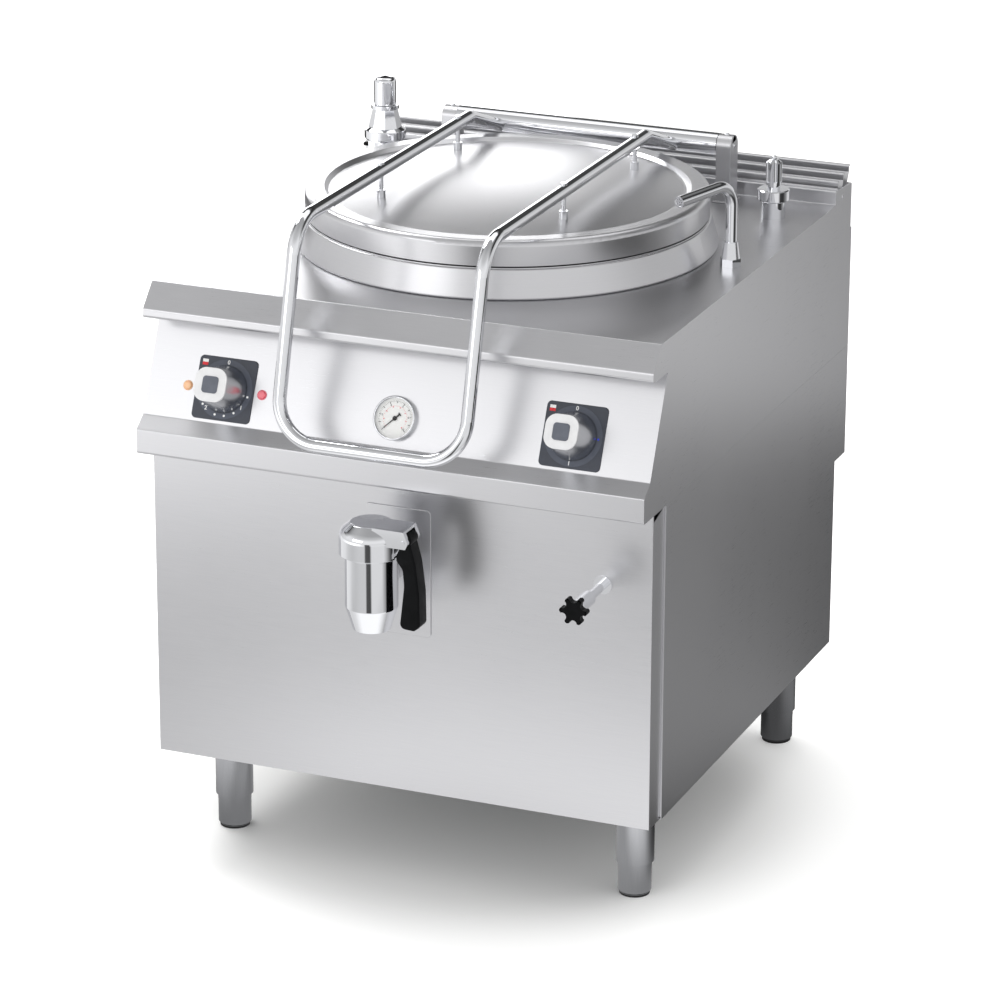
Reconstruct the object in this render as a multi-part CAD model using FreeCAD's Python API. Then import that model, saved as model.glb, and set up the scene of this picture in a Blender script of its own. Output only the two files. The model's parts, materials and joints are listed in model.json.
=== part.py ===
import FreeCAD, Part
import math
import os

Vec = FreeCAD.Vector

# Measures in millimetres. X runs to the right, Y to the back, Z up, and the floor is at zero.
# In this file Y is counted from the outer face of the front panel.

# Cabinet
body_width = 800.0
worktop_height = 900.0
body_underside = 160.0
control_drop = 250.7
seam_gap = 0.3
front_panel_inset = 3.0
front_panel_depth = 44.0
duct_depth = 50.0
duct_drop = 432.0
duct_step_drop = 56.0
duct_step = 5.0
sheet = 1.5
tray_sheet = 2.0
flange = 20.0
post_side = 30.0
post_wall = 2.0
panel_round = 1.2
panel_ear_drop = 14.0

half_width = body_width / 2
inner_half = half_width - sheet
panel_half = half_width - front_panel_inset
tray_floor = body_underside + sheet
tray_top = tray_floor + tray_sheet
worktop_underside = worktop_height - sheet
seam_height = worktop_height - control_drop
duct_underside = worktop_height - duct_drop
duct_step_height = worktop_height - duct_step_drop

# Vessel, jacket and collar: the vessel is as wide as the cabinet allows
vessel_side_room = 110.0
vessel_wall = 2.0
vessel_depth = 439.0
vessel_dish = 14.0
rim_rise = 44.0
rim_lip = 17.0
rim_round = 1.0
collar_foot_spread = 31.0
collar_top_spread = 18.0
collar_seat_spread = 15.0
collar_wall = 2.0
collar_round = 3.0
worktop_hole_spread = 22.0
steam_space = 25.0
jacket_top_drop = 15.0
jacket_room = 75.0
insulation_gap = 0.3
insulation_wall = 25.0
insulation_low_rise = 10.0
insulation_top_drop = 19.0
weld_gap = 0.05
kettle_front_room = 75.7
kettle_rear_room = 61.7

vessel_radius = half_width - vessel_side_room
rim_radius = vessel_radius + rim_lip
rim_z = worktop_height + rim_rise
vessel_floor = rim_z - vessel_depth
jacket_top = worktop_height - jacket_top_drop
jacket_floor = vessel_floor - jacket_room
insulation_low = jacket_floor + insulation_low_rise
insulation_high = jacket_top - insulation_top_drop
collar_foot_radius = vessel_radius + collar_foot_spread
collar_top_radius = vessel_radius + collar_top_spread
collar_seat_radius = vessel_radius + collar_seat_spread
worktop_hole_radius = vessel_radius + worktop_hole_spread
jacket_radius = vessel_radius + steam_space
insulation_radius = jacket_radius + vessel_wall + insulation_gap + insulation_wall
kettle_y = kettle_front_room + insulation_radius
body_back = kettle_y + insulation_radius + kettle_rear_room
duct_back = body_back + duct_depth
rear_inner = body_back - sheet

# Worktop nose and sloping control panel, as Y and Z of the outer folds
nose_top_y = 15.0
nose_front_y = -18.0
nose_front_drop = 35.0
nose_under_drop = 49.0
nose_return = 62.0
slope_low_y = -25.0
slope_low_rise = 55.0
slope_top_y = 33.0
slope_top_drop = 67.0
band_y = -48.0
band_height = 38.0
band_lap = 0.7
band_return = 30.0
fold_round = 2.0
nose_round = 6.0
nose_low_round = 5.0
slope_round = 3.0
band_low_round = 4.0

nose_front_z = worktop_height - nose_front_drop
nose_under_z = worktop_height - nose_under_drop
band_low_z = seam_height + band_lap
band_top_z = band_low_z + band_height
slope_low_z = band_low_z + slope_low_rise
slope_top_z = worktop_height - slope_top_drop
slope_run = slope_top_y - slope_low_y
slope_rise = slope_top_z - slope_low_z
slope_tilt = math.degrees(math.atan2(slope_rise, slope_run))
slope_end_y = slope_low_y + (nose_under_z - slope_low_z) * slope_run / slope_rise

# Rear upstand and flue blades
upstand_from_back = 33.0
upstand_height = 22.5
upstand_depth = 8.0
side_top_drop = 5.2
blade_from_upstand = 20.0
blade_first_rise = 10.0
blade_rise = 7.0
blade_face = 11.0
blade_lap = 6.0
blade_lean = 0.6
blade_sheet = 2.0
blade_round = 2.5
blade_count = 3
blade_side_gap = 2.5
blade_foot_rise = 5.0
rib_thick = 3.0
rib_count = 3

upstand_y = body_back - upstand_from_back
upstand_top = worktop_height + upstand_height
side_top_back_z = upstand_top - side_top_drop
blade_first_y = upstand_y + blade_from_upstand
blade_first_top = upstand_top + blade_first_rise
blade_half = inner_half - blade_side_gap
blade_foot_z = worktop_height + blade_foot_rise

# Heating elements in the water space of the jacket
element_radius = 4.25
element_rise = 26.0
element_pitch = 40.0
element_half_width = 15.0
element_bend = 14.7
element_reach = 420.0
element_flange_back = 222.0
element_flange_radius = 85.0
element_flange_thickness = 6.0
element_flange_lap = 20.0

element_z = jacket_floor + element_rise
element_flange_y = kettle_y + element_flange_back

# Lid
lid_side_inset = 0.4
lid_lift = 2.0
lid_height = 38.0
lid_edge_round = 9.0
lid_band_width = 29.6
lid_groove_width = 6.0
lid_groove_depth = 5.5
lid_dome_rise = 14.5
lid_sheet = 1.5
lid_fold_round = 2.0
lid_dome_margin = 5.0
liner_rise = 3.0
gasket_inset = 2.6
gasket_width = 9.0
gasket_round = 1.0
rest_gap = 0.3

lid_radius = rim_radius - lid_side_inset
lid_low_z = rim_z + vessel_wall + lid_lift
lid_top_z = lid_low_z + lid_height
lid_band_radius = lid_radius - lid_band_width
lid_groove_radius = lid_band_radius - lid_groove_width
lid_groove_z = lid_top_z - lid_groove_depth
lid_dome_z = lid_groove_z + lid_dome_rise
liner_z = lid_low_z + liner_rise
gasket_outer = lid_radius - gasket_inset
gasket_inner = gasket_outer - gasket_width

# Hinge
hinge_from_back = 69.5
hinge_rise = 88.5
post_from_side = 168.5
post_thick = 24.0
post_depth = 35.0
post_foot = 2.0
post_foot_margin = 4.0
post_top_flat = 0.02
bar_radius = 18.0
bar_wall = 2.0
bar_side_gap = 0.5
pin_radius = 8.0
pin_reach = 22.0
running_gap = 0.05
bush_length = 26.0

hinge_y = body_back - hinge_from_back
hinge_z = worktop_height + hinge_rise
post_x = half_width - post_from_side

# Handle frame of bent tube
tube_radius = 10.0
tube_wall = 1.5
arm_from_post = 85.0
arm_rise = 40.0
arm_apex_before_hinge = 135.5
loop_top_y = -23.3
loop_top_bend = 62.0
loop_low_bend = 64.0
loop_low_y = -105.0
loop_drop = 306.5
apex_bend = 24.0
arm_end_drop = 8.0
stud_rear_back = 153.0
stud_front_ahead = 142.0
stud_radius = 6.5
stud_pin_radius = 3.5
stud_bush_height = 18.0
stud_head_radius = 5.0
stud_head_height = 2.5

arm_x = post_x - arm_from_post
arm_z = hinge_z + arm_rise
loop_low_z = arm_z - loop_drop
arm_apex_y = hinge_y - arm_apex_before_hinge
stud_rear_y = kettle_y + stud_rear_back
stud_front_y = kettle_y - stud_front_ahead

# Swivel tap
tap_from_side = 41.0
tap_ahead = 2.0
tap_nut_flat = 28.0
tap_nut_height = 13.0
tap_cone_height = 38.0
tap_cone_low_radius = 14.5
tap_cone_top_radius = 11.0
tap_neck_radius = 8.7
tap_socket_depth = 20.0
spout_radius = 8.75
spout_wall = 1.2
spout_reach_in = 41.0
spout_reach_ahead = 116.0
spout_height = 128.0
spout_droop = 4.0
spout_bend = 32.0

tap_x = half_width - tap_from_side
tap_y = kettle_y - tap_ahead
tap_cone_top = worktop_height + tap_cone_height
tap_socket_z = tap_cone_top - tap_socket_depth

# Jacket vent at the right rear
vent_from_side = 69.0
vent_from_back = 132.0
vent_base_radius = 18.7
vent_base_height = 28.0
vent_collar_radius = 25.0
vent_collar_bevel = 1.5
vent_collar_height = 18.0
vent_neck_radius = 10.0
vent_neck_height = 6.0
vent_cap_radius = 12.3
vent_cap_height = 40.0
vent_crown_height = 5.0
vent_crown_radius = 6.8
vent_stem_radius = 5.0
vent_stem_length = 16.0
vent_ball_radius = 4.0
vent_ball_rise = 2.4
vent_flutes = 6
vent_flute_radius = 3.4
vent_flute_out = 1.2
vent_flute_low = 5.0

vent_x = half_width - vent_from_side
vent_y = body_back - vent_from_back

# Safety valve at the left rear
safety_from_side = 74.0
safety_from_back = 122.0
safety_nut_flat = 38.0
safety_nut_height = 16.0
safety_neck_radius = 17.0
safety_neck_height = 53.0
safety_ring_height = 21.0
safety_ring_radius = 33.0
safety_ring_bevel = 4.0
safety_ring_round = 2.0
safety_facets = 8
safety_cone_height = 30.0
safety_cone_low_radius = 26.5
safety_cone_top_radius = 19.5
safety_flange_thick = 6.0
safety_flange_radius = 22.0
safety_cap_height = 46.7
safety_cap_radius = 17.5
safety_cap_shoulder = 3.0
safety_cap_round = 8.0
safety_cap_edge = 0.5
safety_stem_radius = 6.0
safety_stem_depth = 40.0
stem_room = 1.0
lever_pivot_out = 4.0
lever_pivot_drop = 11.0
lever_reach = 15.0
lever_width = 9.0
lever_height = 8.0
lever_nose = 2.5
lever_back_rise = 3.0
lever_crest_out = 6.0
lever_round = 2.0
ear_gap = 0.4
ear_thick = 3.0
ear_height = 14.0
ear_out = 5.0
ear_sink = 4.0
ear_pin_radius = 2.0

safety_x = safety_from_side - half_width
safety_y = body_back - safety_from_back
safety_ring_low = worktop_height + safety_neck_height
safety_ring_top = safety_ring_low + safety_ring_height
safety_cone_top = safety_ring_top + safety_cone_height
safety_flange_top = safety_cone_top + safety_flange_thick
safety_cap_low = safety_flange_top + rest_gap
safety_cap_top = safety_cap_low + safety_cap_height
lever_pivot_x = safety_x - safety_neck_radius - lever_pivot_out
lever_pivot_z = safety_ring_low - lever_pivot_drop

# Knobs, lamps and gauge on the slope
knob_from_side = 125.0
knob_up = 52.0
knob_plate_side = 94.0
knob_plate_round = 7.0
knob_plate_thick = 1.5
knob_skirt_radius = 35.0
knob_face_side = 50.0
knob_face_round = 17.0
knob_height = 52.0
knob_face_thick = 3.0
knob_foot_gap = 0.5
knob_shaft_radius = 4.0
knob_shaft_room = 1.0
knob_shaft_reach = 22.0
knob_shaft_sink = 5.0
knob_cap_side = 25.0
knob_cap_round = 5.0
knob_cap_rise = 0.8
switch_side = 44.0
switch_depth = 40.0
lamp_from_plate = 13.0
lamp_up = 51.0
lamp_radius = 6.2
lamp_bezel = 7.6
lamp_bezel_thick = 0.8
lamp_rise = 2.8
lamp_round = 1.6
lamp_barrel_radius = 5.0
lamp_barrel_depth = 24.0
gauge_up = 43.0
gauge_radius = 33.0
gauge_bezel_height = 9.0
gauge_bezel_width = 3.2
gauge_bezel_round = 2.5
gauge_lip_round = 1.0
gauge_groove = 1.0
gauge_case_inset = 3.0
gauge_case_depth = 26.0
gauge_dial_height = 3.0
gauge_glass_rise = 4.0
gauge_glass_thick = 1.4
gauge_needle_rise = 1.2
gauge_needle_thick = 0.6
gauge_needle_inset = 7.8
gauge_needle_tail = 9.0
gauge_needle_half = 1.2
gauge_tip_half = 0.3
gauge_tail_round = 0.4
gauge_hub_radius = 3.0
gauge_hub_low = 0.4
gauge_hub_high = 0.6
gauge_spindle_radius = 0.8
gauge_spindle_reach = 3.0
gauge_hand_angle = 225.0
gauge_line_radius = 3.0
gauge_line_bend = 9.0

knob_x = half_width - knob_from_side
knob_shaft_hole = knob_shaft_radius + knob_shaft_room
lamp_offset = knob_plate_side / 2 + lamp_from_plate
gauge_case_radius = gauge_radius - gauge_case_inset
gauge_dial_radius = gauge_radius - gauge_bezel_width
gauge_glass_height = gauge_dial_height + gauge_glass_rise
gauge_needle_height = gauge_dial_height + gauge_needle_rise
gauge_needle_tip = gauge_dial_radius - gauge_needle_inset

# Drain valve
drain_pipe_rise = 25.0
drain_pipe_radius = 26.0
drain_pipe_wall = 4.0
drain_neck_gap = 0.3
drain_plate_width = 104.0
drain_plate_height = 198.0
drain_plate_drop = 22.0
drain_plate_round = 7.0
drain_plate_thick = 2.0
drain_axis_y = -97.0
drain_radius = 39.0
drain_wall = 13.0
drain_cone_drop = 42.0
drain_cone_height = 35.0
drain_cone_low_radius = 28.0
drain_outlet_radius = 19.0
drain_round = 6.0
drain_lid_thick = 6.0
drain_neck_bite = 3.0
drain_body_rise = 41.5
drain_cap_overhang = 8.5
drain_cap_skirt = 3.0
drain_cap_edge = 1.0
drain_cap_rise = 31.0
drain_cap_top_rise = 45.0
drain_cap_shoulder_round = 18.0
drain_cap_crown_inset = 17.0
drain_cap_crown_round = 4.0
drain_cap_crown_rise = 0.5
drain_band_wall = 2.5
drain_band_height = 6.0
drain_band_edge = 0.5
bracket_start_x = 14.0
bracket_end_out = 15.5
bracket_depth = 46.0
bracket_set_back = -7.5
bracket_cheek = 8.0
bracket_top_rise = 46.0
bracket_top_slope = 0.5
bracket_low_rise = 20.0
bracket_bevel = 9.0
bracket_foot_out = 3.0
bracket_swell = 7.0
bracket_swell_round = 6.0
bracket_round = 2.0
bracket_room_low = 23.5
bracket_room_in = 8.0
bracket_plate = 4.5
drain_pivot_out = 14.5
drain_pivot_rise = 30.0
drain_pin_radius = 3.0
pin_head_rise = 1.5
lever_head_radius = 9.5
lever_edge_round = 3.0
lever_rim_least = 20.0
lever_length = 137.0
lever_tip_out = 22.3
lever_tip_rise = 7.0
lever_tip_in = 13.0
lever_heel_in = 9.6
lever_heel_rise = 1.5
lever_waist_out = 15.6
lever_waist_drop = 34.0
lever_inner_in = 2.2
lever_inner_drop = 70.0
lever_belly_out = 21.3
lever_belly_drop = 80.0
lever_belly_sweep = 90.0
lever_throat_in = 4.5
lever_throat_drop = 45.0
lever_throat_round = 12.0
lever_cam_in = 14.2
lever_cam_drop = 32.0
lever_cam_height = 8.0
lever_cam_round = 2.5
lever_crown_rise = 8.0
lever_crown_out = 4.0
lever_outer_sweep = 60.0
lever_inner_sweep = 60.0
lever_corner_round = 8.0
lever_tip_round = 4.5
lever_heel_round = 8.5
lever_shoulder_round = 3.0
piston_side_gap = 3.0
piston_thick = 10.0
piston_stem_radius = 5.0
piston_stem_rise = 16.5
piston_lift = 18.0
piston_room = 2.0
piston_seat_rise = 6.0

drain_pipe_z = vessel_floor + drain_pipe_rise
drain_pipe_bore = drain_pipe_radius - drain_pipe_wall
drain_z = drain_pipe_z - drain_plate_drop
drain_bore = drain_radius - drain_wall
drain_cone_top_z = drain_pipe_z - drain_cone_drop
drain_cone_low_z = drain_cone_top_z - drain_cone_height
drain_body_top_z = drain_pipe_z + drain_body_rise
drain_cap_radius = drain_radius + drain_cap_overhang
drain_cap_shoulder_z = drain_body_top_z + drain_cap_rise
drain_cap_top_z = drain_body_top_z + drain_cap_top_rise
drain_cap_crown_radius = drain_cap_radius - drain_cap_crown_inset
drain_cap_band = drain_radius + drain_band_wall
drain_cap_band_z = drain_body_top_z - drain_band_height
bracket_end_x = drain_cap_radius + bracket_end_out
bracket_back = drain_axis_y + bracket_depth / 2 + bracket_set_back
bracket_front = bracket_back - bracket_depth
bracket_top_front = drain_body_top_z + bracket_top_rise
bracket_top_back = bracket_top_front + bracket_top_slope
bracket_low = drain_body_top_z + bracket_low_rise
drain_pivot_x = drain_cap_radius + drain_pivot_out
drain_pivot_z = drain_body_top_z + drain_pivot_rise
piston_radius = drain_bore - piston_side_gap
piston_seat_z = drain_cone_top_z + piston_seat_rise
piston_stem_top = drain_body_top_z + piston_stem_rise

# Jacket level cock with the star knob
cock_from_side = 79.0
cock_above_pipe = 2.0
cock_stem_radius = 7.0
cock_stem_end = -58.0
cock_bush_radius = 11.5
cock_bush_length = 46.0
cock_collar_radius = 14.0
cock_collar_thick = 2.0
cock_bush_bevel = 1.5
cock_way_radius = 3.0
star_radius = 21.0
star_waist = 15.5
star_lobe_radius = 4.5
star_scoop_radius = 6.0
star_scoop_out = 3.6
star_lobes = 6
star_thick = 13.0
star_gap = 2.0
star_spindle_radius = 4.0
star_spindle_reach = 26.0
star_spindle_sink = 4.0
star_hub_radius = 8.0

cock_x = half_width - cock_from_side
cock_z = drain_pipe_z + cock_above_pipe
cock_bush_end = cock_stem_end - cock_bush_length

# Legs and feet
leg_from_side = 69.0
leg_front_y = 121.0
leg_from_back = 52.0
leg_radius = 29.0
leg_wall = 3.0
leg_length = 107.5
leg_plate_side = 84.0
leg_plate_thick = 3.0
leg_nut_thick = 20.0
foot_side_gap = 0.1
foot_base_inset = 0.3
foot_neck_drop = 10.0
foot_sole = 4.0
foot_sole_inset = 2.6
foot_chamfer = 3.0
foot_insert = 30.0
foot_thread_radius = 8.0
foot_thread_length = 48.0

leg_x = half_width - leg_from_side
leg_rear_y = body_back - leg_from_back
leg_low = tray_floor - leg_length
foot_neck_radius = leg_radius - leg_wall - foot_side_gap
foot_radius = foot_neck_radius - foot_base_inset
foot_sole_radius = foot_radius - foot_sole_inset
foot_neck_z = leg_low - foot_neck_drop
foot_top = leg_low + foot_insert
foot_thread_top = foot_top + foot_thread_length

# Pipes, inlet and gland
pipe_radius = 6.0
pipe_wall = 1.0
jacket_pipe_drop = 24.0
jacket_pipe_bend = 12.0
supply_rise = 140.0
supply_turn_back = 252.0
supply_offset_run = 40.0
cock_turn_back = 238.0
inlet_from_side = 70.0
inlet_radius = 13.2
inlet_bore = 9.0
inlet_reach = 28.0
inlet_flat = 32.0
inlet_nut_depth = 8.0
gland_from_side = 100.0
gland_radius = 14.0
gland_bore = 7.0
gland_reach = 26.0
gland_flat = 30.0
gland_nut_depth = 7.0
box_from_side = 150.0
box_from_back = 62.0
box_width = 180.0
box_depth = 120.0
box_height = 230.0

jacket_pipe_z = worktop_height - jacket_pipe_drop
supply_z = body_underside + supply_rise
supply_back_x = half_width - inlet_from_side
gland_x = gland_from_side - half_width
gland_z = supply_z
box_x = box_from_side - half_width
box_y = body_back - box_from_back - box_depth

# Small screws
screw_head_radius = 4.0
screw_head_height = 1.6
side_screw_rise = 0.4
side_screw_from_back = 1.0
side_screw_above = 6.0

side_screw_y = body_back - side_screw_from_back
side_screw_z = worktop_height + side_screw_above

# Ends of the whole part along Y, used to put the origin at the middle
front_most = drain_axis_y - drain_cap_radius
rear_most = body_back + inlet_reach
if duct_back > rear_most:
    rear_most = duct_back
origin_y = (front_most + rear_most) / 2


# Plain shapes

def block(x0, x1, y0, y1, z0, z1):
    return Part.makeBox(x1 - x0, y1 - y0, z1 - z0, Vec(x0, y0, z0))


def rod(radius, start, end):
    line = Vec(*end) - Vec(*start)
    return Part.makeCylinder(radius, line.Length, Vec(*start), line)


def cone(low_radius, high_radius, x, y, low, high):
    return Part.makeCone(low_radius, high_radius, high - low, Vec(x, y, low), Vec(0, 0, 1))


def joined(shapes):
    whole = shapes[0]
    if len(shapes) > 1:
        whole = shapes[0].multiFuse(shapes[1:])
    whole = whole.removeSplitter()
    if len(whole.Solids) == 1:
        return whole.Solids[0]
    return whole


def rounded_edges(points, closed):
    # each point is a place with the radius of the bend there
    count = len(points)
    places = [Vec(*point[0]) for point in points]
    edges = []
    starts = []
    ends = []
    arcs = []
    for index in range(count):
        radius = points[index][1]
        place = places[index]
        if radius == 0 or (not closed and index in (0, count - 1)):
            starts.append(place)
            ends.append(place)
            arcs.append(None)
            continue
        back = (places[index - 1] - place).normalize()
        ahead = (places[(index + 1) % count] - place).normalize()
        half = back.getAngle(ahead) / 2
        reach = radius / math.tan(half)
        first = place + back * reach
        last = place + ahead * reach
        middle_line = (back + ahead).normalize()
        middle = place + middle_line * (radius / math.sin(half) - radius)
        starts.append(first)
        ends.append(last)
        arcs.append(Part.Arc(first, middle, last).toShape())
    for index in range(count):
        if arcs[index]:
            edges.append(arcs[index])
        following = index + 1
        if following == count:
            if not closed:
                break
            following = 0
        if (starts[following] - ends[index]).Length > 0.001:
            edges.append(Part.LineSegment(ends[index], starts[following]).toShape())
    return Part.Wire(edges)


def side_outline(points, x0, x1):
    # points of Y, Z and bend radius, drawn out along X
    wire = rounded_edges([((x0, y, z), radius) for y, z, radius in points], True)
    return Part.Face(wire).extrude(Vec(x1 - x0, 0, 0))


def front_outline(points, y0, y1):
    # points of X, Z and bend radius, drawn out along Y
    wire = rounded_edges([((x, y0, z), radius) for x, z, radius in points], True)
    return Part.Face(wire).extrude(Vec(0, y1 - y0, 0))


def flat_outline(points, z0, z1):
    # points of X, Y and bend radius, drawn out along Z
    wire = rounded_edges([((x, y, z0), radius) for x, y, radius in points], True)
    return Part.Face(wire).extrude(Vec(0, 0, z1 - z0))


def turned(points, x, y):
    # points of distance from the axis, height and bend radius, turned about an upright axis
    wire = rounded_edges([((x + r, y, z), radius) for r, z, radius in points], True)
    return Part.Face(wire).revolve(Vec(x, y, 0), Vec(0, 0, 1), 360)


def folded_sheet(points, thickness, x0, x1):
    # a sheet folded along lines parallel to X: its outer face follows the points, each with its bend
    inner = []
    for index in range(len(points)):
        normals = []
        if index > 0:
            normals.append(sheet_normal(points[index - 1], points[index]))
        if index < len(points) - 1:
            normals.append(sheet_normal(points[index], points[index + 1]))
        if len(normals) == 1:
            normals.append(normals[0])
        share = 1 + normals[0][0] * normals[1][0] + normals[0][1] * normals[1][1]
        y = points[index][0] + thickness * (normals[0][0] + normals[1][0]) / share
        z = points[index][1] + thickness * (normals[0][1] + normals[1][1]) / share
        turn = normals[0][0] * normals[1][1] - normals[0][1] * normals[1][0]
        bend = points[index][2]
        if bend > 0 and turn > 0:
            bend = bend + thickness
        elif bend > 0:
            bend = bend - thickness
        inner.append((y, z, bend))
    return side_outline(list(points) + inner[::-1], x0, x1)


def sheet_normal(first, second):
    run = second[0] - first[0]
    rise = second[1] - first[1]
    length = math.hypot(run, rise)
    return (rise / length, -run / length)


def bent_rod(radius, points):
    path = rounded_edges(points, False)
    start = Vec(*points[0][0])
    line = Vec(*points[1][0]) - start
    circle = Part.Wire(Part.makeCircle(radius, start, line))
    return path.makePipeShell([circle], True, False)


def bent_tube(radius, wall, points):
    return bent_rod(radius, points).cut(bent_rod(radius - wall, points))


def hexagon(flat, x, y, z0, z1):
    reach = flat / math.sqrt(3)
    corners = []
    for step in range(6):
        angle = math.radians(60 * step)
        corners.append((x + reach * math.cos(angle), y + reach * math.sin(angle), 0))
    return flat_outline(corners, z0, z1)


def rounded_square(side, corner, z0, z1):
    half = side / 2
    corners = [(half, half, corner), (-half, half, corner), (-half, -half, corner), (half, -half, corner)]
    return flat_outline(corners, z0, z1)


def mirrored(shape):
    return shape.mirror(Vec(0, 0, 0), Vec(1, 0, 0))


def on_slope(shape, across, up):
    # a shape drawn flat, with Y up the slope and Z outward, laid on the control panel
    placed = shape.copy()
    placed.rotate(Vec(0, 0, 0), Vec(1, 0, 0), slope_tilt)
    tilt = math.radians(slope_tilt)
    placed.translate(Vec(across, slope_low_y + up * math.cos(tilt), slope_low_z + up * math.sin(tilt)))
    return placed


# Cabinet

def floor_tray():
    half = panel_half - sheet
    plate = block(-half, half, sheet, rear_inner, tray_floor, tray_top)
    front = block(-half, half, sheet, sheet + tray_sheet, tray_top, tray_top + flange)
    rear = block(-half, half, rear_inner - tray_sheet, rear_inner, tray_top, tray_top + flange)
    return joined([plate, front, rear])


def inner_frame():
    x1 = inner_half
    x0 = x1 - post_side
    front = nose_return + tray_sheet
    rear = rear_inner - tray_sheet - post_side
    parts = []
    for y in (front, rear):
        post = block(x0, x1, y, y + post_side, tray_top, worktop_underside)
        hollow = block(x0 + post_wall, x1 - post_wall, y + post_wall, y + post_side - post_wall,
                       tray_top, worktop_underside - post_side)
        parts.append(post.cut(hollow))
    rail = block(x0, x1, front, rear, worktop_underside - post_side, worktop_underside)
    cut_rail = block(x0 - post_side, x1 - post_wall, front + post_side, rear,
                     worktop_underside - post_side - post_wall, worktop_underside - post_wall)
    parts.append(rail.cut(cut_rail))
    right = joined(parts)
    cross = block(-x0, x0, rear, rear + post_wall, worktop_underside - post_side, worktop_underside)
    return joined([right, mirrored(right), cross])


def side_panel():
    low = body_underside
    high = seam_height - seam_gap
    face = side_outline([(front_panel_depth, low, 0), (body_back, low, 0), (body_back, duct_underside, 0),
                         (duct_back, duct_underside, 0), (duct_back, high, 0),
                         (front_panel_depth, high, 0)], inner_half, half_width)
    bottom = block(inner_half - flange, inner_half, front_panel_depth, rear_inner, low, low + sheet)
    front = block(inner_half - flange, inner_half, front_panel_depth, front_panel_depth + sheet,
                  tray_top, high)
    return joined([face, bottom, front])


def front_panel():
    low = body_underside
    depth = front_panel_depth - seam_gap
    face = block(-panel_half, panel_half, 0, sheet, low, band_low_z)
    bottom = block(-panel_half, panel_half, 0, depth, low, low + sheet)
    top = block(-panel_half + flange, panel_half - flange, 0, band_return, band_low_z - sheet, band_low_z)
    ear = side_outline([(0, low, 0), (depth, low, 0), (depth, band_low_z - sheet, 0),
                        (0, band_low_z - panel_ear_drop, 0)], panel_half - sheet, panel_half)
    panel = joined([face, bottom, top, ear, mirrored(ear)])
    corners = [edge for edge in panel.Edges if edge.BoundBox.YMax < seam_gap
               and abs(abs(edge.BoundBox.Center.x) - panel_half) < seam_gap]
    panel = panel.makeFillet(panel_round, corners)
    drain_hole = rod(drain_pipe_radius + drain_neck_gap, (0, -sheet, drain_pipe_z), (0, flange, drain_pipe_z))
    cock_hole = rod(cock_stem_radius + drain_neck_gap, (cock_x, -sheet, cock_z), (cock_x, flange, cock_z))
    return panel.cut(drain_hole).cut(cock_hole)


def rear_panel():
    panel = block(-inner_half, inner_half, rear_inner, body_back, tray_floor, worktop_underside)
    inlet = rod(inlet_radius + seam_gap, (supply_back_x, rear_inner, supply_z),
                (supply_back_x, body_back, supply_z))
    gland = rod(gland_radius + seam_gap, (gland_x, rear_inner, gland_z), (gland_x, body_back, gland_z))
    return panel.cut(inlet).cut(gland)


def rear_duct():
    bottom = block(-inner_half, inner_half, body_back, duct_back, duct_underside, duct_underside + sheet)
    back = block(-inner_half, inner_half, duct_back - sheet, duct_back, duct_underside, duct_step_height)
    upper_y = duct_back - duct_step
    step_low = duct_step_height - sheet
    upper = block(-inner_half, inner_half, upper_y - sheet, upper_y, step_low, side_top_back_z)
    step = block(-inner_half, inner_half, upper_y - sheet, duct_back, step_low, duct_step_height)
    return joined([bottom, back, upper, step])


def upper_outline():
    back = duct_back - duct_step
    return [(nose_top_y, worktop_height, fold_round), (nose_front_y, nose_front_z, nose_round),
            (nose_front_y, nose_under_z, nose_low_round), (slope_end_y, nose_under_z, 0),
            (slope_low_y, slope_low_z, slope_round), (band_y, band_top_z, slope_round),
            (band_y, band_low_z, band_low_round), (front_panel_depth, band_low_z, 0),
            (front_panel_depth, seam_height, 0), (duct_back, seam_height, 0),
            (duct_back, duct_step_height, 0), (back, duct_step_height, 0),
            (back, side_top_back_z, fold_round), (upstand_y, upstand_top, fold_round),
            (upstand_y, worktop_height, fold_round)]


def cheek():
    return side_outline(upper_outline(), inner_half, half_width)


def worktop():
    top = upstand_top
    folds = [(nose_return, nose_under_z, 0), (nose_front_y, nose_under_z, nose_low_round),
             (nose_front_y, nose_front_z, nose_round), (nose_top_y, worktop_height, fold_round),
             (upstand_y, worktop_height, fold_round), (upstand_y, top, fold_round),
             (upstand_y + upstand_depth, top, 0)]
    sheet_part = folded_sheet(folds, sheet, -inner_half, inner_half)
    hole = rod(worktop_hole_radius, (0, kettle_y, worktop_underside), (0, kettle_y, worktop_height))
    whole = sheet_part.cut(hole)
    for x, y, radius in ((tap_x, tap_y, pipe_radius), (safety_x, safety_y, pipe_radius),
                         (vent_x, vent_y, pipe_radius)):
        drill = rod(radius + seam_gap, (x, y, worktop_underside - sheet), (x, y, worktop_height + sheet))
        whole = whole.cut(drill)
    return whole


def flue_grille():
    parts = []
    front_y = upstand_y + upstand_depth
    back_y = duct_back - duct_step
    pitch = (back_y - blade_lap - blade_first_y) / (blade_count - 1)
    for step in range(blade_count):
        y = blade_first_y + pitch * step
        top = blade_first_top + blade_rise * step
        bend_z = top - blade_face
        foot_y = y - (bend_z - blade_foot_z) * blade_lean
        folds = [(foot_y, blade_foot_z, 0), (y, bend_z, blade_round), (y, top, blade_round),
                 (y + blade_lap, top, 0)]
        parts.append(folded_sheet(folds, blade_sheet, -blade_half, blade_half))
    for step in range(rib_count):
        x = -inner_half + step * (2 * inner_half - rib_thick) / (rib_count - 1)
        parts.append(block(x, x + rib_thick, front_y, back_y - sheet, worktop_underside, side_top_back_z))
    front = block(-inner_half, inner_half, front_y, front_y + blade_sheet, worktop_underside, side_top_back_z)
    parts.append(front)
    return joined(parts)


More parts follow.
